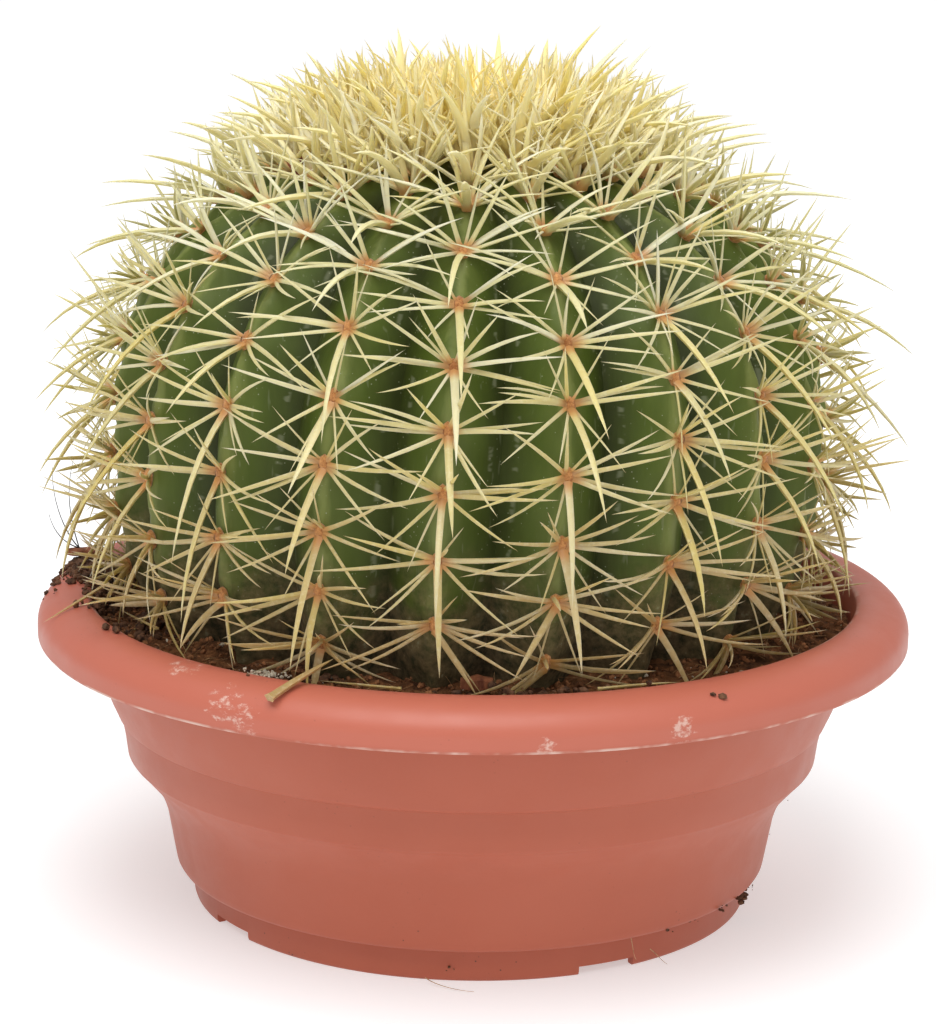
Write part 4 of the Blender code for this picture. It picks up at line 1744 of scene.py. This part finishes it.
        # A few crumbs cling to the outside of the lip at the left.
        clinging = ((263, 40), (266, 62), (258, 24), (254, 38), (271, 30), (249, 12), (275, 55), (261, 74))
        for angle, lean in clinging:
            heaps.append((polar(math.radians(angle), *self.bowl.on_roll(math.radians(lean))),
                          Vector((0.0006, 0.0030, 0.0006)), 5, 0.0003, 0.0007))
        self.build_heap("spilt_peat", heaps, peat)
        grains = (Vector((-0.0600, -0.0985, 0.0958)), Vector((0.0065, 0.0040, 0.0008)), 150, 0.0002, 0.0008)
        self.build_heap("rim_grit", [grains], grit)

    def build_foot_threads(self, material: Material) -> None:
        """Build the pale threads caught at the foot's front right notch.

        Args:
            material: their finish.
        """
        bm = bmesh.new()
        # Each one's four knots: angle in degrees, radius and height.
        routes = (
            ((24.0, 0.0930, 0.0150), (29.0, 0.0925, 0.0128), (33.0, 0.0930, 0.0138), (40.0, 0.0934, 0.0170)),
            ((31.0, 0.0922, 0.0120), (32.0, 0.0915, 0.0085), (32.5, 0.0905, 0.0045), (33.5, 0.0900, 0.0030)),
            ((37.0, 0.0895, 0.0050), (38.5, 0.0905, 0.0030), (39.0, 0.0912, 0.0010), (39.5, 0.0930, 0.0004)),
            ((352.0, 0.0905, 0.002), (354.0, 0.0925, 0.0006), (358.0, 0.0955, 0.0004), (1.0, 0.096, 0.0004)),
        )
        for route in routes:
            knots = [polar(math.radians(angle), radius, height) for angle, radius, height in route]
            add_thread(bm, curve_through(knots), self.pale_thread)
        finish_piece("foot_threads", bm, material, sharp=75.0)

    def build_roots(self, material: Material) -> None:
        """Build the fine dead root threads that stick out over the rim at the left.

        Args:
            material: their finish.
        """
        low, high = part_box("bark_chip_left")
        start = Vector((low.x + 0.004, (low.y + high.y) / 2, high.z))
        # Each one's two handles and its end, from where they all start.
        threads = (
            ((-0.004, 0.0, 0.004), (-0.009, 0.002, 0.014), (-0.0085, 0.002, 0.026)),
            ((-0.003, 0.0, 0.010), (-0.004, -0.002, 0.019), (-0.001, -0.003, 0.030)),
            ((-0.005, -0.002, 0.002), (-0.008, -0.002, 0.006), (-0.009, -0.004, 0.012)),
        )
        bm = bmesh.new()
        for handles in threads:
            knots = [start, *(start + Vector(handle) for handle in handles)]
            add_thread(bm, curve_through(knots), self.root_thread)
        finish_piece("root_threads", bm, material, sharp=75.0)


# ---------------------------------------------------------------- studio

@dataclass
class Studio:
    """The pale floor, the soft lights and the camera."""
    distance: float = 1.026
    elevation: float = 13.3
    roll: float = 0.014
    target: Vector = field(default_factory=lambda: Vector((-0.00177, 0.0, 0.1208)))
    lens: float = 116.26
    air_glow: float = 0.50
    floor_size: float = 4.0
    # Each soft light's name, place, side and power.
    lights: tuple[tuple[str, tuple[float, float, float], float, float], ...] = (
        ("key_light", (-0.16, -0.62, 1.45), 1.1, 18.0),
        ("fill_light", (0.9, -0.9, 0.9), 0.8, 1.0),
        ("back_light", (0.1, 0.9, 1.2), 0.9, 4.0),
    )

    def build(self) -> None:
        """Build the studio."""
        self.add_floor()
        self.add_world()
        self.add_camera()
        for name, place, size, power in self.lights:
            self.add_softbox(name, Vector(place), size, power)

    def add_floor(self) -> None:
        """Add the floor."""
        bm = bmesh.new()
        bmesh.ops.create_grid(bm, x_segments=8, y_segments=8, size=self.floor_size)
        floor = new_object("floor", bm)
        floor.data.materials.append(StudioPaper().material())

    def add_world(self) -> None:
        """Light the scene from all round with a near-white sky."""
        world = bpy.data.worlds.new("studio_air")
        world.use_nodes = True
        tree = world.node_tree
        glow = tree.nodes["Background"]
        backdrop = tree.nodes.new("ShaderNodeBackground")
        for node, strength in ((glow, self.air_glow), (backdrop, 1.0)):
            node.inputs["Color"].default_value = (1.0, 1.0, 1.0, 1.0)
            node.inputs["Strength"].default_value = strength
        seen = tree.nodes.new("ShaderNodeLightPath")
        choose = tree.nodes.new("ShaderNodeMixShader")
        tree.links.new(seen.outputs["Is Camera Ray"], choose.inputs[0])
        tree.links.new(glow.outputs[0], choose.inputs[1])
        tree.links.new(backdrop.outputs[0], choose.inputs[2])
        tree.links.new(choose.outputs[0], tree.nodes["World Output"].inputs["Surface"])
        bpy.context.scene.world = world

    def add_softbox(self, name: str, place: Vector, size: float, power: float) -> None:
        """Add a square soft light that faces the plant.

        Args:
            name: its name.
            place: where it stands.
            size: its side.
            power: in watts.
        """
        light = bpy.data.lights.new(name, "AREA")
        light.size = size
        light.energy = power
        obj = bpy.data.objects.new(name, light)
        obj.location = place
        obj.rotation_euler = (self.target - place).to_track_quat("-Z", "Y").to_euler()
        bpy.context.scene.collection.objects.link(obj)

    def add_camera(self) -> None:
        """Stand the camera in front, looking a little down."""
        camera = bpy.data.cameras.new("camera")
        camera.sensor_width = 36.0
        camera.lens = self.lens
        obj = bpy.data.objects.new("camera", camera)
        tilt = math.radians(self.elevation)
        look = Vector((0.0, math.cos(tilt), -math.sin(tilt)))
        obj.location = self.target - look * self.distance
        aim = look.to_track_quat("-Z", "Y").to_matrix() @ Matrix.Rotation(self.roll, 3, "Z")
        obj.rotation_euler = aim.to_euler()
        bpy.context.scene.collection.objects.link(obj)
        bpy.context.scene.camera = obj


# ---------------------------------------------------------------- everything

def main() -> None:
    """Build every sub-assembly and report each piece."""
    logging.basicConfig(level=logging.INFO, format="%(name)s: %(message)s")
    bpy.context.scene.view_settings.view_transform = "Standard"
    form = StemForm()
    maker = SpineMaker()
    spine = SpineFinish().material()
    rust_felt = Felt("areole_felt", linear(150, 90, 48), linear(212, 154, 94)).material()
    wool = Felt("crown_wool_felt", linear(214, 190, 118), linear(240, 224, 168)).material()
    bark = Litter("bark", linear(96, 52, 36), linear(158, 98, 66), streaks=0.4).material()
    bowl = Bowl()
    bowl.build(BowlPlastic().material())
    Stem(form).build(StemSkin().material())
    crumb = Litter("soil_crumb", linear(78, 48, 28), linear(172, 116, 76)).material()
    fibre = Litter("soil_fibre", linear(110, 78, 52), linear(186, 146, 102), streaks=0.5).material()
    grit = Litter("soil_grit", linear(150, 134, 112), linear(222, 212, 192)).material()
    SoilBed(form).build(Peat().material(), crumb, fibre, grit)
    SpineRows(form, CrestPath(form), maker, Keepout()).build(spine, rust_felt)
    Crown(maker).build(SpineFinish(name="young_spine", glow=0.20).material(), wool)
    bits = LooseBits(form, maker, bowl)
    bits.build_chip("bark_chip_front", bark, 2.0)
    bits.build_chip("bark_chip_left", bark, 6.0)
    petal = Litter("dry_petal", linear(120, 48, 38), linear(190, 110, 84), streaks=0.5).material()
    bits.build_remnant(petal)
    bits.build_roots(Litter("root_thread", linear(24, 22, 22), linear(52, 46, 42)).material())
    bits.build_fallen_spines(spine)
    bits.build_dirt(Litter("spilt_peat", linear(50, 34, 26), linear(122, 86, 62)).material(), grit)
    bits.build_foot_threads(Litter("pale_thread", linear(150, 118, 84), linear(210, 180, 140)).material())
    Studio().build()


if __name__ == "__main__":
    main()
